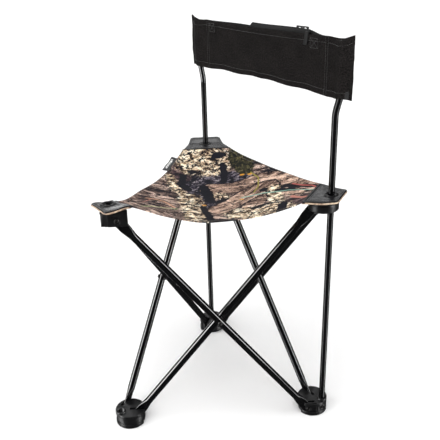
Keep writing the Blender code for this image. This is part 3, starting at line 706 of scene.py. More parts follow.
def refined(node, paint, width=0.0005):
    """A copy of a frame node with its flat faces joined and its sharp edges rounded, which stands for it."""
    shape = bmesh.new()
    shape.from_mesh(frame["nodes"][node].data)
    bmesh.ops.remove_doubles(shape, verts=shape.verts, dist=1e-6)
    bmesh.ops.dissolve_limit(shape, angle_limit=math.radians(0.6), verts=shape.verts, edges=shape.edges)
    keen = [edge for edge in shape.edges if edge.is_manifold and edge.calc_face_angle(0) > math.radians(32)]
    bmesh.ops.bevel(shape, geom=keen, offset=width, segments=2, affect="EDGES", clamp_overlap=True)
    return piece(f"{node}_shell", shape, paint, node, sharp=24)


def store_flat(obj, flat):
    """Keeps each point's place on the uncut cloth, which the cloth's materials read."""
    data = obj.data.attributes.new("flat", "FLOAT_VECTOR", "POINT")
    for item, value in zip(data.data, flat):
        item.vector = value


def thick_sheet(name, rows, paint, node=None, body=None):
    """A closed sheet over rows of spots: each a middle point, half the thickness, and its flat place."""
    high, wide = len(rows), len(rows[0])
    middles = [[spot[0] for spot in row] for row in rows]
    shape = bmesh.new()
    layers = []
    flat = []
    for sign in (1, -1):
        grid = []
        for i in range(high):
            line = []
            for j in range(wide):
                ahead = middles[min(i + 1, high - 1)][j] - middles[max(i - 1, 0)][j]
                across = middles[i][min(j + 1, wide - 1)] - middles[i][max(j - 1, 0)]
                normal = ahead.cross(across).normalized()
                middle, half, place = rows[i][j]
                line.append(shape.verts.new(middle + normal * sign * half))
                flat.append(place)
            grid.append(line)
        layers.append(grid)
    top, low = layers
    for i in range(high - 1):
        for j in range(wide - 1):
            shape.faces.new((top[i][j], top[i][j + 1], top[i + 1][j + 1], top[i + 1][j]))
            shape.faces.new((low[i][j], low[i + 1][j], low[i + 1][j + 1], low[i][j + 1]))
    rim = [(0, j) for j in range(wide)] + [(i, wide - 1) for i in range(1, high)]
    rim += [(high - 1, j) for j in range(wide - 2, -1, -1)] + [(i, 0) for i in range(high - 2, 0, -1)]
    for (a, b), (c, d) in zip(rim, rim[1:] + rim[:1]):
        shape.faces.new((top[a][b], low[a][b], low[c][d], top[c][d]))
    obj = piece(name, shape, paint, node, body, sharp=60)
    store_flat(obj, flat)
    return obj


def stitches(shape, path, lift, length=STITCH, radius=THREAD_R):
    """A row of short threads along a path of points, raised off it by the lift."""
    travelled = [0.0]
    for start, end in zip(path, path[1:]):
        travelled.append(travelled[-1] + (end - start).length)
    total = travelled[-1]
    count = max(1, int(total / length))
    pitch = total / count

    def at(distance):
        distance = min(max(distance, 0.0), total)
        index = max(i for i in range(len(travelled) - 1) if travelled[i] <= distance + 1e-12)
        share = (distance - travelled[index]) / max(travelled[index + 1] - travelled[index], 1e-9)
        return path[index].lerp(path[index + 1], share)

    for number in range(count):
        points = []
        for share, rise in ((0.10, -0.6), (0.22, 0.5), (0.5, 1.0), (0.78, 0.5), (0.90, -0.6)):
            points.append(at((number + share) * pitch) + lift * (1 + rise * radius / lift.length))
        rod(points, radius, 6, shape, domed=True)


# ---------------------------------------------------------------- steel


def tube_loops(length):
    """A scissor tube along its own Z: the (station, straight half, half thickness, dent) of each ring."""
    half = []
    for degrees in range(6, 90, 12):
        angle = math.radians(degrees)
        width = FLAT_HALF_WIDTH * math.sin(angle)
        thick = min(FLAT_HALF_THICK, width * 0.85)
        half.append((-FLAT_HALF_WIDTH * math.cos(angle), width - thick, thick, 0.0))
    straight = FLAT_HALF_WIDTH - FLAT_HALF_THICK
    for step in range(6):
        half.append((FLAT_REACH * step / 5, straight, FLAT_HALF_THICK, 0.0))
    steps = 18
    for step in range(1, steps + 1):
        share = step / steps
        blend = smooth(0, 1, share)
        station = FLAT_REACH + (TAPER_REACH - FLAT_REACH) * share
        thick = FLAT_HALF_THICK + (TUBE_R - FLAT_HALF_THICK) * blend
        dent = 0.5 * bell(share - 0.42, 0.24)
        half.append((station, straight * (1 - blend), thick, dent))
    inner = [(TAPER_REACH + 0.02, 0.0, TUBE_R, 0.0), (length / 2, 0.0, TUBE_R, 0.0)]
    rings = half + inner
    return rings + [(length - station, *rest) for station, *rest in reversed(rings[:-1])]


def make_tube(start, end, paint):
    """The tube from one corner's foot pin to another corner's hub pin, through the CAD tube's own middle."""
    node = f"tube_{end}_hub_to_{start}_foot"
    layer = "outer" if CORNERS[(CORNERS.index(end) + 1) % 3] == start else "inner"
    normal = (outward(BEARING[start]) + outward(BEARING[end])).normalized()
    foot, hub = centre(f"foot_pin_{start}_{layer}"), centre(f"hub_pin_{end}_{layer}")
    middle = centre(node)
    foot += normal * (middle - foot).dot(normal)
    hub += normal * (middle - hub).dot(normal)
    axis = (hub - foot).normalized()
    across = normal.cross(axis)
    sides = 40
    loops = []
    for station, straight, thick, dent in tube_loops((hub - foot).length):
        loop = []
        for count in range(sides):
            angle = (count + 0.5) * 2 * math.pi / sides
            wide = math.copysign(straight, math.cos(angle)) + thick * math.cos(angle)
            deep = thick * math.sin(angle) * (1 - dent * bell(wide, 0.0052))
            loop.append(foot + axis * station + across * wide + normal * deep)
        loops.append(loop)
    piece(f"leg_{end}_to_{start}", loft(loops), paint, node, sharp=50)


def eased(height, bend):
    """A height above a bend, and none below it, rounded off either side of the bend."""
    over = height - bend
    if over < -BEND_SOFT:
        return 0.0
    return (over + BEND_SOFT) ** 2 / (4 * BEND_SOFT) if over < BEND_SOFT else over


def post_point(side, height):
    """The middle of a back post: upright, leaning outwards over a short length, and upright again."""
    lean = (eased(height, POST_BEND_Z) - eased(height, POST_TURN_Z)) * math.tan(POST_LEAN)
    return Vector((side * (POST_X + lean), POST_Y, height))


def make_posts(paint, plastic):
    """The two bent back posts and the domed caps in their upper ends."""
    for name, side in SIDES:
        low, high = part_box(f"back_post_{name}")
        bends = [POST_BEND_Z - 0.012 + 0.003 * step for step in range(20)]
        heights = [low.z, 0.2, 0.45, 0.55, *bends, 0.72, high.z]
        points = [post_point(side, height) for height in heights]
        piece(f"post_{name}", rod(points, POST_R, 40), paint, f"back_post_{name}")
        rise = POST_TOP - points[-1].z
        profile = [
            (POST_R * 0.9, 0.0002), (POST_R, 0.0006), (POST_R, rise * 0.6),
            (POST_R * 0.8, rise * 0.92), (POST_R * 0.3, rise),
        ]
        cap = lathe(profile, Matrix.Translation(points[-1]))
        piece(f"cap_{name}", cap, plastic, f"post_cap_{name}")


def reach_of(node, way):
    """How far a node's points reach from its box's middle, that way."""
    middle = centre(node)
    return max((vertex.co - middle).dot(way) for vertex in frame["nodes"][node].data.vertices)


def make_pin(node, outer, paint):
    """A domed rivet head with a ringed dimple, on its shank. Outer is the way that the head faces."""
    low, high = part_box(node)
    wide = (high.z - low.z) / 2
    head = reach_of(node, outer)
    tip = -reach_of(node, -outer)
    under = head - PIN_HEAD
    profile = [(0.0012, tip), (0.0024, tip + 0.0004), (0.0024, under), (wide * 0.98, under)]
    for degrees in (0, 25, 50, 70):
        angle = math.radians(degrees)
        radius = wide * (0.55 + 0.45 * math.cos(angle))
        profile.append((radius, head - PIN_HEAD * (0.62 - 0.6 * math.sin(angle))))
    profile += [(wide * 0.50, head - 0.0001), (wide * 0.42, head - 0.0007), (wide * 0.2, head - 0.0009)]
    place = Matrix.Translation(centre(node)) @ frame_of(outer)
    piece(f"{node}_turned", lathe(profile, place, 32), paint, node)


def make_pins(paint):
    """Every pin, rivet and screw. Outer pins face out of their side, and inner pins face the middle."""
    for corner in CORNERS:
        index = CORNERS.index(corner)
        after, before = CORNERS[(index + 1) % 3], CORNERS[(index + 2) % 3]
        ahead = (outward(BEARING[corner]) + outward(BEARING[after])).normalized()
        behind = (outward(BEARING[corner]) + outward(BEARING[before])).normalized()
        make_pin(f"hub_pin_{corner}_outer", ahead, paint)
        make_pin(f"hub_pin_{corner}_inner", -behind, paint)
        make_pin(f"foot_pin_{corner}_outer", behind, paint)
        make_pin(f"foot_pin_{corner}_inner", -ahead, paint)
        make_pin(f"rivet_{corner}_{after}", ahead, paint)
        if corner != "front":
            make_pin(f"post_screw_{corner}", behind, paint)


def make_mouldings(plastic, nylon):
    """Hubs, feet, washers and the strap's buckle, which has moved with its raised strap."""
    for corner in CORNERS:
        refined(f"hub_{corner}", plastic)
        refined(f"foot_{corner}", plastic)
        make_foot_bands(corner, plastic)
        after = CORNERS[(CORNERS.index(corner) + 1) % 3]
        refined(f"washer_{corner}_{after}", nylon, 0.0003)
    buckle = refined("strap_buckle", plastic, 0.0007)
    rise = Vector((0, 0, strap_rise(centre("strap_buckle").x)))
    buckle.data.transform(Matrix.Translation(BUCKLE_SHIFT + rise))


def make_foot_bands(corner, plastic):
    """Two raised bands round the outer side of a foot, above and below its screws."""
    place = corner_place(corner, 0.0)
    base = PUCK_R - 0.0004
    rim = PUCK_R + FOOT_BAND_PROUD
    shape = bmesh.new()
    for low, high in FOOT_BANDS:
        section = [(base, low), (rim, low + 0.0005), (rim, high - 0.0005), (rim - 0.0006, high), (base, high)]
        loops = []
        for step in range(61):
            angle = FOOT_BAND_SPREAD * (step / 30 - 1)
            way = Vector((math.cos(angle), math.sin(angle), 0))
            ring = [Vector((-PUCK_IN, 0, height)) + way * radius for radius, height in section]
            loops.append([place @ point for point in ring])
        loft(loops, shape)
    piece(f"foot_bands_{corner}", shape, plastic, body=BODY_OF[f"foot_{corner}"])


# ---------------------------------------------------------------- seat


def folds(plan):
    """Soft folds that fan out of each corner patch, and a faint ripple all over."""
    rise = SEAT_RIPPLE * noise.noise(Vector((plan.x * 16, plan.y * 16, 3.1)))
    for corner in CORNERS:
        way = outward(BEARING[corner])
        along = HINGE_R - plan.dot(way)
        side = plan.y * way.x - plan.x * way.y
        fan = math.atan2(side, along + 0.06)
        depth = SEAT_FOLD * smooth(0.0, 0.04, along) * bell(along, 0.13)
        rise += depth * math.sin(fan * 11 + BEARING[corner]) * smooth(0.0, 0.02, HINGE_R + 0.06 - plan.length)
    return rise


def settled(corner, point):
    """Where cloth near a corner really lies: points are in the corner's frame, above the seat's level.

    The rear left corner turns up at its outer edge, and the rear right one less. The front corner rolls over
    its hub: its far flank is drawn in and hangs, and its near flank lifts.
    """
    x, y, z = point
    if corner == "front":
        near = smooth(-0.150, -0.050, x)
        far_flank = smooth(0.004, 0.050, -y) * near * (0.35 + 0.65 * smooth(-0.002, -0.040, x))
        near_flank = smooth(0.000, 0.050, y) * near * smooth(0.004, -0.040, x)
        return Vector((x, y + FRONT_IN * far_flank, z - FRONT_DOWN * far_flank + FRONT_UP * near_flank))
    return Vector((x, y, z + CORNER_LIFT[corner] * smooth(-0.008, 0.020, x)))


def side_name(corner, side):
    """The name of the seat's side that lies this way from a corner."""
    other = CORNERS[(CORNERS.index(corner) + side) % 3]
    return f"{corner} {other}" if side > 0 else f"{other} {corner}"


def seat_corners(corner, side):
    """The plan of a seat panel's hinge, wing, edge and middle points, from the middle of the stool."""
    way = outward(BEARING[corner])
    across = Vector((-way.y, way.x, 0))
    hinge = way * HINGE_R
    wing = hinge + across * side * WING
    edge = outward(BEARING[corner] + side * 60) * (CORNER_R / 2 + EDGE_OUT[side_name(corner, side)])
    return hinge, wing, edge, Vector((0, 0, 0))


def hem_curve(wing, edge, share):
    """The sling's open edge from a patch's wing to the middle of a side, level with the side there."""
    run = Vector((-edge.y, edge.x, 0)).normalized()
    knee = edge + run * (wing - edge).dot(run) * 0.5
    return wing.lerp(knee, share).lerp(knee.lerp(edge, share), share)


def seat_plan(corner, side, along, over):
    """A panel's plan: along runs from the patch to the middle of the seat, over from its spine to its hem."""
    hinge, wing, edge, middle = seat_corners(corner, side)
    if along < 0:
        return hinge.lerp(wing, over) - hinge.normalized() * along * 0.1
    return hinge.lerp(middle, along).lerp(hem_curve(wing, edge, along), over)


def on_seat(corner, side, along, over):
    """A point of the sling: it sags towards its middle, and less at its edges."""
    plan = seat_plan(corner, side, along, over)
    fall = 1 - (1 - max(0.0, along)) ** 2
    spine = MIDDLE_SAG * fall
    hem = EDGE_SAG[side_name(corner, side)] * fall
    drop = spine + (hem - spine) * over * over
    past = smooth(0.0, 0.08, along)
    place = corner_place(corner, SEAT_LEVEL)
    local = place.inverted() @ (MIDDLE + Vector((plan.x, plan.y, SEAT_LEVEL - drop + folds(plan) * past)))
    return place @ settled(corner, local)


def make_seat(canvas, thread):
    """Six panels of one sling and their hem stitches, each taken off its body and fixed where it lies."""
    spans = 44
    overs = 26
    for corner in CORNERS:
        for side in (1, -1):
            after = CORNERS[(CORNERS.index(corner) + side) % 3]
            node = f"seat_{corner}_toward_{after}"
            rows = []
            for i in range(-2, spans + 1):
                along = i / spans if i >= 0 else i * 0.03
                width = hem_width(corner, side, along)
                shares = [k / overs * (1 - HEM_GAPS[0] / width) for k in range(overs)]
                shares += [1 - gap / width for gap in HEM_GAPS]
                rows.append([seat_spot(corner, side, along, share, width) for share in shares])
            panel = thick_sheet(f"sling_{corner}_{after}", rows, canvas, node)
            name = f"sling_stitching_{corner}_{after}"
            run = piece(name, hem_seams(corner, side), thread, body=BODY_OF[node])
            fold_at(panel)
            fold_at(run)


def hem_seams(corner, side):
    """Two rows of stitches along a panel's hem, from the patch to the middle of the side."""
    seam = bmesh.new()
    for inset in (HEM_WIDTH - 0.0018, 0.0022):
        path = []
        for step in range(1, 41):
            along = step / 40
            over = 1 - inset / hem_width(corner, side, along)
            path.append(on_seat(corner, side, along, over))
        stitches(seam, path, Vector((0, 0, HEM_HALF)))
    return seam


def seat_spot(corner, side, along, over, width):
    """A panel's middle point, half its thickness there, and its place on the flat cloth."""
    point = on_seat(corner, side, along, over)
    return point, hem_bulk((1 - over) * width), seat_plan(corner, side, along, over)


def hem_width(corner, side, along):
    """How wide a panel is in plan from its spine to its hem."""
    return (seat_plan(corner, side, along, 1.0) - seat_plan(corner, side, along, 0.0)).length


def hem_bulk(gap):
    """Half the cloth's thickness at this distance from its edge: doubled in the hem, and rounded off."""
    bulk = CLOTH_HALF + (HEM_HALF - CLOTH_HALF) * smooth(HEM_WIDTH + 0.001, HEM_WIDTH, gap)
    return bulk * math.sqrt(min(1.0, 0.04 + gap / 0.0014))


def fold_at(obj):
    """Takes a seat piece off its body and bakes its place into its mesh."""
    obj.parent = None
    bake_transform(obj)


# ---------------------------------------------------------------- patches


def patch_shape(corner):
    """A CAD patch in its corner's frame: the X of its outer and inner edges, and half the width of each."""
    place = corner_place(corner, HUB_PIN_Z).inverted()
    points = [place @ vertex.co for vertex in frame["nodes"][f"seat_patch_{corner}"].data.vertices]
    outer = max(point.x for point in points)
    inner = min(point.x for point in points)
    outer_half = max(abs(point.y) for point in points if point.x > outer - 1e-4)
    inner_half = max(abs(point.y) for point in points if point.x < inner + 1e-4)
    return outer, inner, outer_half, inner_half


def patch_loop(corner, inset, steps=10):
    """The patch's rounded outline drawn in by inset, counter-clockwise from its inner left corner."""
    outer, inner, outer_half, inner_half = patch_shape(corner)
    corners = [
        Vector((inner + inset, -inner_half + inset * 1.3, 0)),
        Vector((outer - inset, -outer_half + inset * 0.8, 0)),
        Vector((outer - inset, outer_half - inset * 0.8, 0)),
        Vector((inner + inset, inner_half - inset * 1.3, 0)),
    ]
    rounds = [0.0025, 0.006, 0.006, 0.0025]
    counts = [10, 16, 10, 26]
    loop = []
    for index, point in enumerate(corners):
        before, after = corners[index - 1], corners[(index + 1) % 4]
        radius = max(0.0008, rounds[index] - inset * 0.3)
        start = point + (before - point).normalized() * radius
        end = point + (after - point).normalized() * radius
        for step in range(steps + 1):
            share = step / steps
            loop.append(start.lerp(point, share).lerp(point.lerp(end, share), share))
        far = after + (point - after).normalized() * radius
        for step in range(1, counts[index]):
            loop.append(end.lerp(far, step / counts[index]))
    return loop


def patch_rise(corner, point):
    """A soft wave over a patch."""
    return PATCH_WAVE * noise.noise(Vector((point.x * 45, point.y * 45, BEARING[corner])))


def hole_x(corner):
    """Where a patch's hole lies along X in its corner's frame."""
    place = corner_place(corner, 0).inverted()
    return (place @ centre(f"grommet_{corner}")).x


def on_patch(corner, point, height):
    """A point in the corner's frame, at this height above the seat's level, laid on the settled cloth."""
    raised = Vector((point.x, point.y, height + patch_rise(corner, point)))
    return corner_place(corner, SEAT_LEVEL) @ settled(corner, raised)


def make_patch(corner, vinyl):
    """The coated cloth on a corner of the sling, with a stepped rim and a round hole for the ring."""
    hole = Vector((hole_x(corner), 0, 0))
    innermost = patch_loop(corner, PATCH_INNER)
    around = [hole + (point - hole).normalized() * PATCH_HOLE_R for point in innermost]
    levels = [(patch_loop(corner, inset), height) for inset, height in PATCH_LEVELS]
    for share in (0.5, 1.0):
        levels.append(([point.lerp(end, share) for point, end in zip(innermost, around)], 0.0019))
    levels.append((around, 0.0004))
    shape = loft([[on_patch(corner, point, height) for point in loop] for loop, height in levels], caps=False)
    verts = list(shape.verts)
    count = len(innermost)
    for index in range(count):
        after = (index + 1) % count
        shape.faces.new((verts[index], verts[after], verts[-count + after], verts[-count + index]))
    patch = piece(f"patch_{corner}", shape, vinyl, f"seat_patch_{corner}", sharp=55)
    store_flat(patch, [point for loop, height in levels for point in loop])


def make_patch_edge(corner, hem, thread):
    """The rolled canvas under a patch's three outer sides, and the stitches on its stepped rim."""
    body = BODY_OF[f"seat_patch_{corner}"]
    inner = patch_shape(corner)[1]
    edge = [point for point in patch_loop(corner, 0.0006) if point.x > inner + 0.001]
    edge.sort(key=lambda point: math.atan2(point.y, point.x - inner - 0.012))
    roll = rod([on_patch(corner, point, -0.0013) for point in edge], 0.0016, 12, domed=True)
    piece(f"patch_hem_{corner}", roll, hem, body=body)
    seam = bmesh.new()
    for inset, height in ((0.0028, 0.0021), (0.0068, 0.0017)):
        loop = patch_loop(corner, inset)
        path = [on_patch(corner, point, height) for point in [*loop, loop[0]]]
        stitches(seam, path, Vector((0, 0, 0.0001)))
    piece(f"patch_stitching_{corner}", seam, thread, body=body)


def make_ring(corner, plastic):
    """The ring round a patch's hole, with notches round its inner edge."""
    node = f"grommet_{corner}"
    low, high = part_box(node)
    middle = (low + high) / 2
    radius = (high.x - low.x) / 2
    inner = 0.0076
    base = low.z - 0.0002
    tall = high.z - base + 0.0012
    sides = 96
    profile = [
        (radius, 0.0), (radius, tall * 0.45), (radius - 0.0008, tall * 0.7), (radius - 0.0026, tall),
        (radius - 0.0040, tall), (radius - 0.0048, tall * 0.8), (0.0080, tall * 0.62), (inner, tall * 0.3),
        (inner, 0.0),
    ]
    loops = []
    for distance, height in profile:
        loop = []
        for count in range(sides):
            angle = 2 * math.pi * count / sides
            notch = smooth(0.80, 0.95, math.cos(6 * angle)) if distance < radius - 0.003 else 0.0
            point = Vector((math.cos(angle), math.sin(angle), 0)) * (distance + notch * 0.0012)
            loop.append(Vector((middle.x, middle.y, base + height * (1 - 0.75 * notch))) + point)
        loops.append(loop)
    shape = loft([*loops, loops[0]], caps=False)
    bmesh.ops.remove_doubles(shape, verts=shape.verts, dist=1e-7)
    piece(f"ring_{corner}", shape, plastic, node)


def make_tag(label):
    """A folded label sewn along the seat's left hem, standing out from it."""
    half_long = TAG_LENGTH / 2
    stretch = (on_seat("left", 1, TAG_ALONG + 0.05, 1.0) - on_seat("left", 1, TAG_ALONG, 1.0)).length
    reach_along = half_long / stretch * 0.05
    rows = []
    for reach in TAG_REACHES:
        row = []
        for step in range(21):
            share = step / 10 - 1
            along = TAG_ALONG + share * reach_along
            root = on_seat("left", 1, along, 1.0)
            run = (on_seat("left", 1, along + 0.02, 1.0) - on_seat("left", 1, along - 0.02, 1.0)).normalized()
            out = Vector((run.y, -run.x, 0)).normalized()
            out = out if out.dot(root - MIDDLE) > 0 else -out
            curl = 0.0008 * math.sin(share * 5) * max(0.0, reach) / 0.013
            point = root + (out + Vector((0, 0, 0.12))).normalized() * reach + Vector((0, 0, curl))
            thin = reach in (TAG_REACHES[0], TAG_REACHES[-1]) or step in (0, 20)
            row.append((point, 0.0002 if thin else 0.0007, Vector((share * half_long, reach, 0))))
        rows.append(row)
    tag = thick_sheet("label_seat_edge", rows, label, "seat_tag")


# ---------------------------------------------------------------- back band


def band_top(x):
    """The top edge of the band: a shallow dip between its sleeves, and a tip at each end."""
    far = abs(x)
    dip = -BAND_DIP * (1 - (min(far, SEAM_X) / SEAM_X) ** 2)
    tip = BAND_TIP * smooth(BAND_EDGE - 0.020, BAND_EDGE, far) ** 1.5
    dent = -BAND_DENT * bell(far - SEAM_X - 0.030, 0.016)
    return BAND_HIGH + 0.0010 + dip + tip + dent


def band_low(x):
    """The bottom edge of the band, a little higher at its middle and faintly wavy."""
    far = abs(x)
    rise = BAND_DIP * (1 - (min(far, SEAM_X) / SEAM_X) ** 2)
    return BAND_LOW + rise + 0.0012 * math.sin(far * 60)


def band_wave(x, z):
    """How far the band stands back from its plane, in soft folds, and in puckers round the sewn boxes."""
    wave = BAND_FOLD * noise.noise(Vector((x * 9, 1.7, z * 26)))
    wave += BAND_RUMPLE * noise.noise(Vector((x * 55, 4.2, z * 60)))
    for side in (1, -1):
        gap_x, gap_z = x - side * BOX_X[side], z - BOX_Z
        reach = math.hypot(gap_x, gap_z)
        pucker = BAND_PUCKER * math.sin(math.atan2(gap_z, gap_x) * 7)
        wave += pucker * smooth(0.010, 0.018, reach) * bell(reach, 0.034)
    calm = smooth(0.0, 0.012, abs(abs(x) - SEAM_X))
    return wave * (0.25 + 0.75 * calm)


def band_point(x, share):
    """A point of the band's middle, this share of the way up it."""
    low, high = band_low(x), band_top(x)
    z = low + (high - low) * share
    return Vector((x, POST_Y + band_wave(x, z), z))


def band_shares():
    """Places up the band, close together at its two hems."""
    low = [gap / BAND_TALL for gap in BAND_GAPS]
    middle = [0.14 + 0.72 * step / 22 for step in range(23)]
    return low + middle + [1 - share for share in reversed(low)]


def hem_half(share):
    """Half the band's thickness: doubled in its hems and rounded off at its edges."""
    gap = min(share, 1 - share) * BAND_TALL
    bulk = BAND_HALF + 0.0005 * smooth(0.0126, 0.0115, gap)
    return bulk * math.sqrt(min(1.0, 0.05 + gap / 0.0012))


def band_flat(x, share):
    """A place on the band's flat cloth."""
    return Vector((x, share * BAND_TALL, 0))


def band_spot(x, share):
    """The band's middle point, half its thickness there, and its place on the flat cloth."""
    return band_point(x, share), hem_half(share), band_flat(x, share)


def make_band_panels(cloth):
    """The two halves of the band's middle, from their seams at the sleeves, each taken off its body and fixed
    where it lies.
    """
    for name, side in SIDES:
        rows = []
        for step in range(61):
            x = side * (SLEEVE_SEAM - SLEEVE_SEAM * step / 60)
            rows.append([band_spot(x, share) for share in band_shares()])
        panel = thick_sheet(f"band_{name}", rows, cloth, f"back_panel_{name}")
        bend_band(panel)


def bend_band(obj):
    """Takes a piece of the band off its body and bakes its place into its mesh."""
    obj.parent = None
    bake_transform(obj)


def sleeve_half(side, x, z, wall):
    """Half the sleeve's depth: flat at its seam and its edge, and drawn round the post between."""
    post = post_point(side, min(z, POST_TOP)).x * side
    over = bell(x - post, 0.0125)
    shut = smooth(0.0, 0.0035, band_top(x) - z)
    full = 0.0012 + (POST_R + 0.0016) * over * shut
    ends = math.sqrt(min(1.0, max(0.0, min(x - SLEEVE_SEAM + 0.0003, BAND_EDGE - x) / 0.0012)))
    return max(0.00005, (full - wall) * (0.12 + 0.88 * ends))


def sleeve_loop(side, share, wall):
    """A ring round the outside of the sleeve, or of its pocket when it has a wall: points and flat places."""
    inset = 0.0010 if wall else 0.0
    seam, edge = SLEEVE_SEAM + inset, BAND_EDGE - inset
    count = 40
    xs = [seam + (edge - seam) * (0.5 - 0.5 * math.cos(math.pi * step / count)) for step in range(count + 1)]
    loop, flat = [], []
    for sign, line in ((-1, xs), (1, xs[::-1])):
        for x in line:
            low, high = band_low(x), band_top(x)
            z = low + (high - low) * share
            depth = sleeve_half(side, x, z, wall)
            middle = POST_Y + band_wave(side * x, z)
            loop.append(Vector((side * x, middle + sign * depth, z)))
            flat.append(band_flat(side * x, share))
    return loop, flat


def make_sleeves(cloth):
    """The pockets at the ends of the band, open below, that the posts stand in."""
    outside = band_shares()[:-4] + [0.962, 0.974, 0.984, 0.991, 0.996, 0.999, 1.0]
    levels = [(share, 0.0) for share in reversed(outside)]
    levels += [(share, BAND_HALF) for share in (0.0, 0.1, 0.4, 0.8, 0.955)]
    for name, side in SIDES:
        loops, flat = [], []
        for share, wall in levels:
            loop, places = sleeve_loop(side, share, wall)
            loops.append(loop)
            flat += places
        shape = loft(loops)
        sleeve = piece(f"sleeve_{name}", shape, cloth, f"back_sleeve_{name}", sharp=60)
        store_flat(sleeve, flat)


def face_of_band(side, x, share, back=False):
    """A point on the front or the back face of the band, or of its sleeve."""
    point = band_point(side * x, share)
    depth = sleeve_half(side, x, point.z, 0.0) if x > SLEEVE_SEAM else hem_half(share)
    return point + Vector((0, depth if back else -depth, 0))


def band_seams(side, seam_x, ends):
    """Stitches on both faces of the band: a row up the seam, and one along each hem between two ends."""
    shape = bmesh.new()
    ups = [0.015 + 0.97 * step / 40 for step in range(41)]
    xs = [ends[0] + (ends[1] - ends[0]) * step / 60 for step in range(61)]
    for back in (False, True):
        lift = Vector((0, 0.00015 if back else -0.00015, 0))
        stitches(shape, [face_of_band(side, seam_x, share, back) for share in ups], lift)
        for share in (0.108, 0.892):
            stitches(shape, [face_of_band(side, x, share, back) for x in xs], lift)
    return shape


def make_band_stitching(thread):
    """Seams beside each sleeve, along both hems, and the crossed boxes that hold the strap."""
    for name, side in SIDES:
        seam = band_seams(side, SEAM_X + 0.0026, (SEAM_X + 0.003, BAND_EDGE - 0.003))
        piece(f"sleeve_stitching_{name}", seam, thread, body=f"{name}_foot_and_post")
        seam = band_seams(side, SEAM_X - 0.0030, (0.0003, SEAM_X - 0.003))
        crossed_box(seam, side)
        run = piece(f"band_stitching_{name}", seam, thread, body=f"back_panel_{name}")
        bend_band(run)


def crossed_box(shape, side):
    """A square of stitches with a cross in it, on the front of the band."""
    box = [(-1, -1), (1, -1), (1, 1), (-1, 1), (-1, -1), (1, 1), (1, -1), (-1, 1)]
    for (a, b), (c, d) in zip(box, box[1:]):
        path = []
        for step in range(9):
            across, up = a + (c - a) * step / 8, b + (d - b) * step / 8
            share = (BOX_Z + up * BOX_HALF * 0.9 - BAND_LOW) / BAND_TALL
            path.append(face_of_band(side, BOX_X[side] + across * BOX_HALF, share))
        stitches(shape, path, Vector((0, -0.0002, 0)), 0.0028, 0.00036)


def strap_rise(x):
    """How far the strap rides up past its sewn height, between a kink left of the middle and the buckle."""
    return STRAP_RISE * smooth(-0.046, -0.036, x) * smooth(0.172, 0.124, x)


def strap_place(side, share):
    """The strap's middle line, from its sewn end at 0 to the middle of the back at 1."""
    low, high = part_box(f"carry_strap_{'right' if side > 0 else 'left'}")
    start = max(abs(low.x), abs(high.x))
    z = (low.z + high.z) / 2 + strap_rise(side * start * (1 - share))
    stand = 0.0028 + 0.0062 * math.sin(math.pi * share) ** 2
    return Vector((side * start * (1 - share), POST_Y + 0.0015 + stand, z))


def make_straps(webbing):
    """The carry strap: two halves behind the band, from the sewn boxes to the buckle."""
    for name, side in SIDES:
        rows = []
        for step in range(49):
            middle = strap_place(side, step / 48)
            row = []
            for over in STRAP_SHARES:
                point = middle + Vector((0, 0.0006 * over, STRAP_HALF * over))
                half = STRAP_HALF_THICK * math.sqrt(max(0.03, 1 - abs(over) ** 40))
                row.append((point, half, Vector((middle.x, STRAP_HALF * over, 0))))
            rows.append(row)
        thick_sheet(f"strap_{name}", rows, webbing, f"carry_strap_{name}")


def make_strap_tail(webbing):
    """The loose end of the strap, which comes over the band's top edge by the buckle and hangs in front."""
    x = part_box("strap_buckle")[1].x + TAIL_SHIFT
    top = band_top(x)
    route = [
        (0.0034, -0.010), (0.0040, -0.001), (0.0030, 0.0030), (0.0, 0.0042), (-0.0026, 0.0026),
        (-0.0034, -0.004), (-0.0032, -0.010), (-0.0038, -0.015), (-0.0048, -0.018),
    ]
    rows = []
    travelled = 0.0
    for index, (y, z) in enumerate(route):
        if index:
            travelled += math.hypot(y - route[index - 1][0], z - route[index - 1][1])
        row = []
        for over in TAIL_SHARES:
            point = Vector((x + TAIL_HALF * over + 0.10 * z, POST_Y + y, top + z))
            half = 0.0002 if abs(over) == 1.0 else STRAP_HALF_THICK
            row.append((point, half, Vector((travelled, TAIL_HALF * over, 0))))
        rows.append(row)
    thick_sheet("strap_tail", rows, webbing, body="back_panel_right")


def make_keeper(plastic):
    """A small keeper plate at the foot of the right sleeve's outer edge."""
    x, share = BAND_EDGE - 0.0095, 0.075
    face = face_of_band(1, x, share)
    shape = bmesh.new()
    place = Matrix.Translation(face + Vector((0, -0.0005, 0.0))) @ Matrix.Diagonal((0.010, 0.0016, 0.0125, 1))
    bmesh.ops.create_cube(shape, size=1, matrix=place)
    bmesh.ops.bevel(shape, geom=shape.edges[:], offset=0.0006, segments=3, affect="EDGES")
    piece("sleeve_keeper", shape, plastic, body="right_foot_and_post")


# ---------------------------------------------------------------- stage


def make_floor():
    """A pale floor that curves up far away, so that no horizon shows from low angles."""
    loops = []
    for radius, height in ((3.0, 0.0), (24.0, 0.0), (34.0, 3.0), (42.0, 12.0), (46.0, 26.0)):
        angles = [2 * math.pi * count / 64 for count in range(64)]
        loops.append([Vector((radius * math.cos(a), radius * math.sin(a), height)) for a in angles])
    shape = loft(loops, caps=False)
    shape.faces.new(list(shape.verts)[:64])
    bmesh.ops.recalc_face_normals(shape, faces=shape.faces)
    mesh = bpy.data.meshes.new("studio_floor")
    shape.to_mesh(mesh)
    shape.free()
    mesh.shade_smooth()
    paint = Paint("studio_floor_paint")
    shade = paint.mix(paint.noise(3, 2), (0.90, 0.90, 0.90), (0.94, 0.94, 0.94))
    mesh.materials.append(paint.finish(shade, 0.9))
    floor = bpy.data.objects.new("studio_floor", mesh)
    floor.visible_glossy = False
    floor.visible_shadow = False
    bpy.context.scene.collection.objects.link(floor)


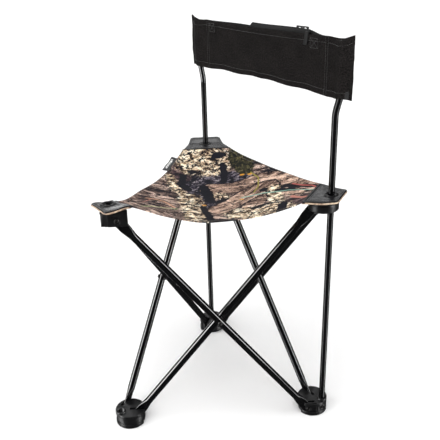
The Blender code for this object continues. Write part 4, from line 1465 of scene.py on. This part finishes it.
def add_box(name, place, aim, size, power):
    """A box of light that is seen only in reflections."""
    data = bpy.data.lights.new(name, "AREA")
    data.shape = "RECTANGLE"
    data.size, data.size_y = size
    data.energy = power
    lamp = bpy.data.objects.new(name, data)
    lamp.location = place
    lamp.rotation_mode = "QUATERNION"
    lamp.rotation_quaternion = (aim - Vector(place)).to_track_quat("-Z", "Y")
    lamp.visible_diffuse = False
    bpy.context.scene.collection.objects.link(lamp)


def add_sun(name, energy, spread, turn):
    """A wide soft light that gives no highlights."""
    data = bpy.data.lights.new(name, "SUN")
    data.energy = energy
    data.angle = math.radians(spread)
    lamp = bpy.data.objects.new(name, data)
    lamp.rotation_euler = [math.radians(angle) for angle in turn]
    lamp.visible_glossy = False
    bpy.context.scene.collection.objects.link(lamp)


def make_lights():
    """A dim room, two wide suns that light the stool and the floor, and boxes seen only as reflections."""
    world = bpy.data.worlds.new("studio")
    bpy.context.scene.world = world
    world.use_nodes = True
    room = world.node_tree.nodes["Background"]
    room.inputs["Color"].default_value = (1.0, 1.0, 1.0, 1)
    room.inputs["Strength"].default_value = 0.07
    add_sun("overhead", 3.4, 80, (22, 14, 0))
    add_sun("fill", 0.7, 150, (60, 0, 50))
    middle = Vector((0, 0.05, 0.5))
    for name, bearing, level, size, power in (
        ("front_box", -104, 1.0, (1.00, 2.6), 190),
        ("front_low_box", -104, -1.4, (1.00, 2.0), 36),
        ("right_box", 34, 1.0, (0.60, 2.6), 100),
        ("right_low_box", 34, -1.4, (0.60, 2.0), 26),
        ("left_box", 172, 0.0, (0.60, 4.6), 22),
    ):
        rise = Vector((0, 0, level))
        add_box(name, middle + outward(bearing) * 2.4 + rise, middle + rise, size, power)
    add_box("rear_box", (-1.9, 1.35, 1.55), middle, (1.5, 0.5), 5)
    add_box("top_box", (-0.95, 0.65, 2.50), middle, (1.2, 0.8), 14)


def make_camera():
    """The camera, placed from the middle of the stool, and a plain tone curve."""
    bpy.context.scene.view_settings.view_transform = "Standard"
    azimuth = math.radians(CAMERA_AZIMUTH)
    elevation = math.radians(CAMERA_ELEVATION)
    roll = math.radians(CAMERA_ROLL)
    back = Vector((
        math.sin(azimuth) * math.cos(elevation),
        -math.cos(azimuth) * math.cos(elevation),
        math.sin(elevation),
    ))
    level = Vector((math.cos(azimuth), math.sin(azimuth), 0))
    upright = back.cross(level)
    across = level * math.cos(roll) + upright * math.sin(roll)
    up = upright * math.cos(roll) - level * math.sin(roll)
    data = bpy.data.cameras.new("camera")
    data.sensor_width = 36
    data.lens = CAMERA_LENS
    data.clip_start, data.clip_end = 0.05, 120
    camera = bpy.data.objects.new("camera", data)
    place = Matrix((across, up, back)).transposed().to_4x4()
    place.translation = MIDDLE + CAMERA_FROM
    camera.matrix_world = place
    bpy.context.scene.collection.objects.link(camera)
    bpy.context.scene.camera = camera


def main():
    """Makes the stage, the materials and every piece, from the floor up."""
    make_camera()
    make_floor()
    make_lights()
    steel, plastic, plated, nylon = powder_coat(), moulded_plastic(), plated_steel(), washer_nylon()
    webbing, vinyl, canvas, hem = ribbed_webbing(), coated_vinyl(), camo_canvas(), hem_canvas()
    band_cloth = band_canvas()
    black_thread = thread_paint("black_thread", (0.026, 0.026, 0.028))
    grey_thread = thread_paint("grey_thread", (0.015, 0.0135, 0.0128))
    brown_thread = thread_paint("brown_thread", (0.110, 0.080, 0.060))
    for start in CORNERS:
        for end in CORNERS:
            if start != end:
                make_tube(start, end, steel)
    make_posts(steel, plastic)
    make_pins(plated)
    make_mouldings(plastic, nylon)
    make_seat(canvas, brown_thread)
    for corner in CORNERS:
        make_patch(corner, vinyl)
        make_patch_edge(corner, hem, black_thread)
        make_ring(corner, plastic)
    make_tag(label_cloth())
    make_band_panels(band_cloth)
    make_sleeves(band_cloth)
    make_band_stitching(grey_thread)
    make_straps(webbing)
    make_strap_tail(webbing)
    make_keeper(plastic)


main()
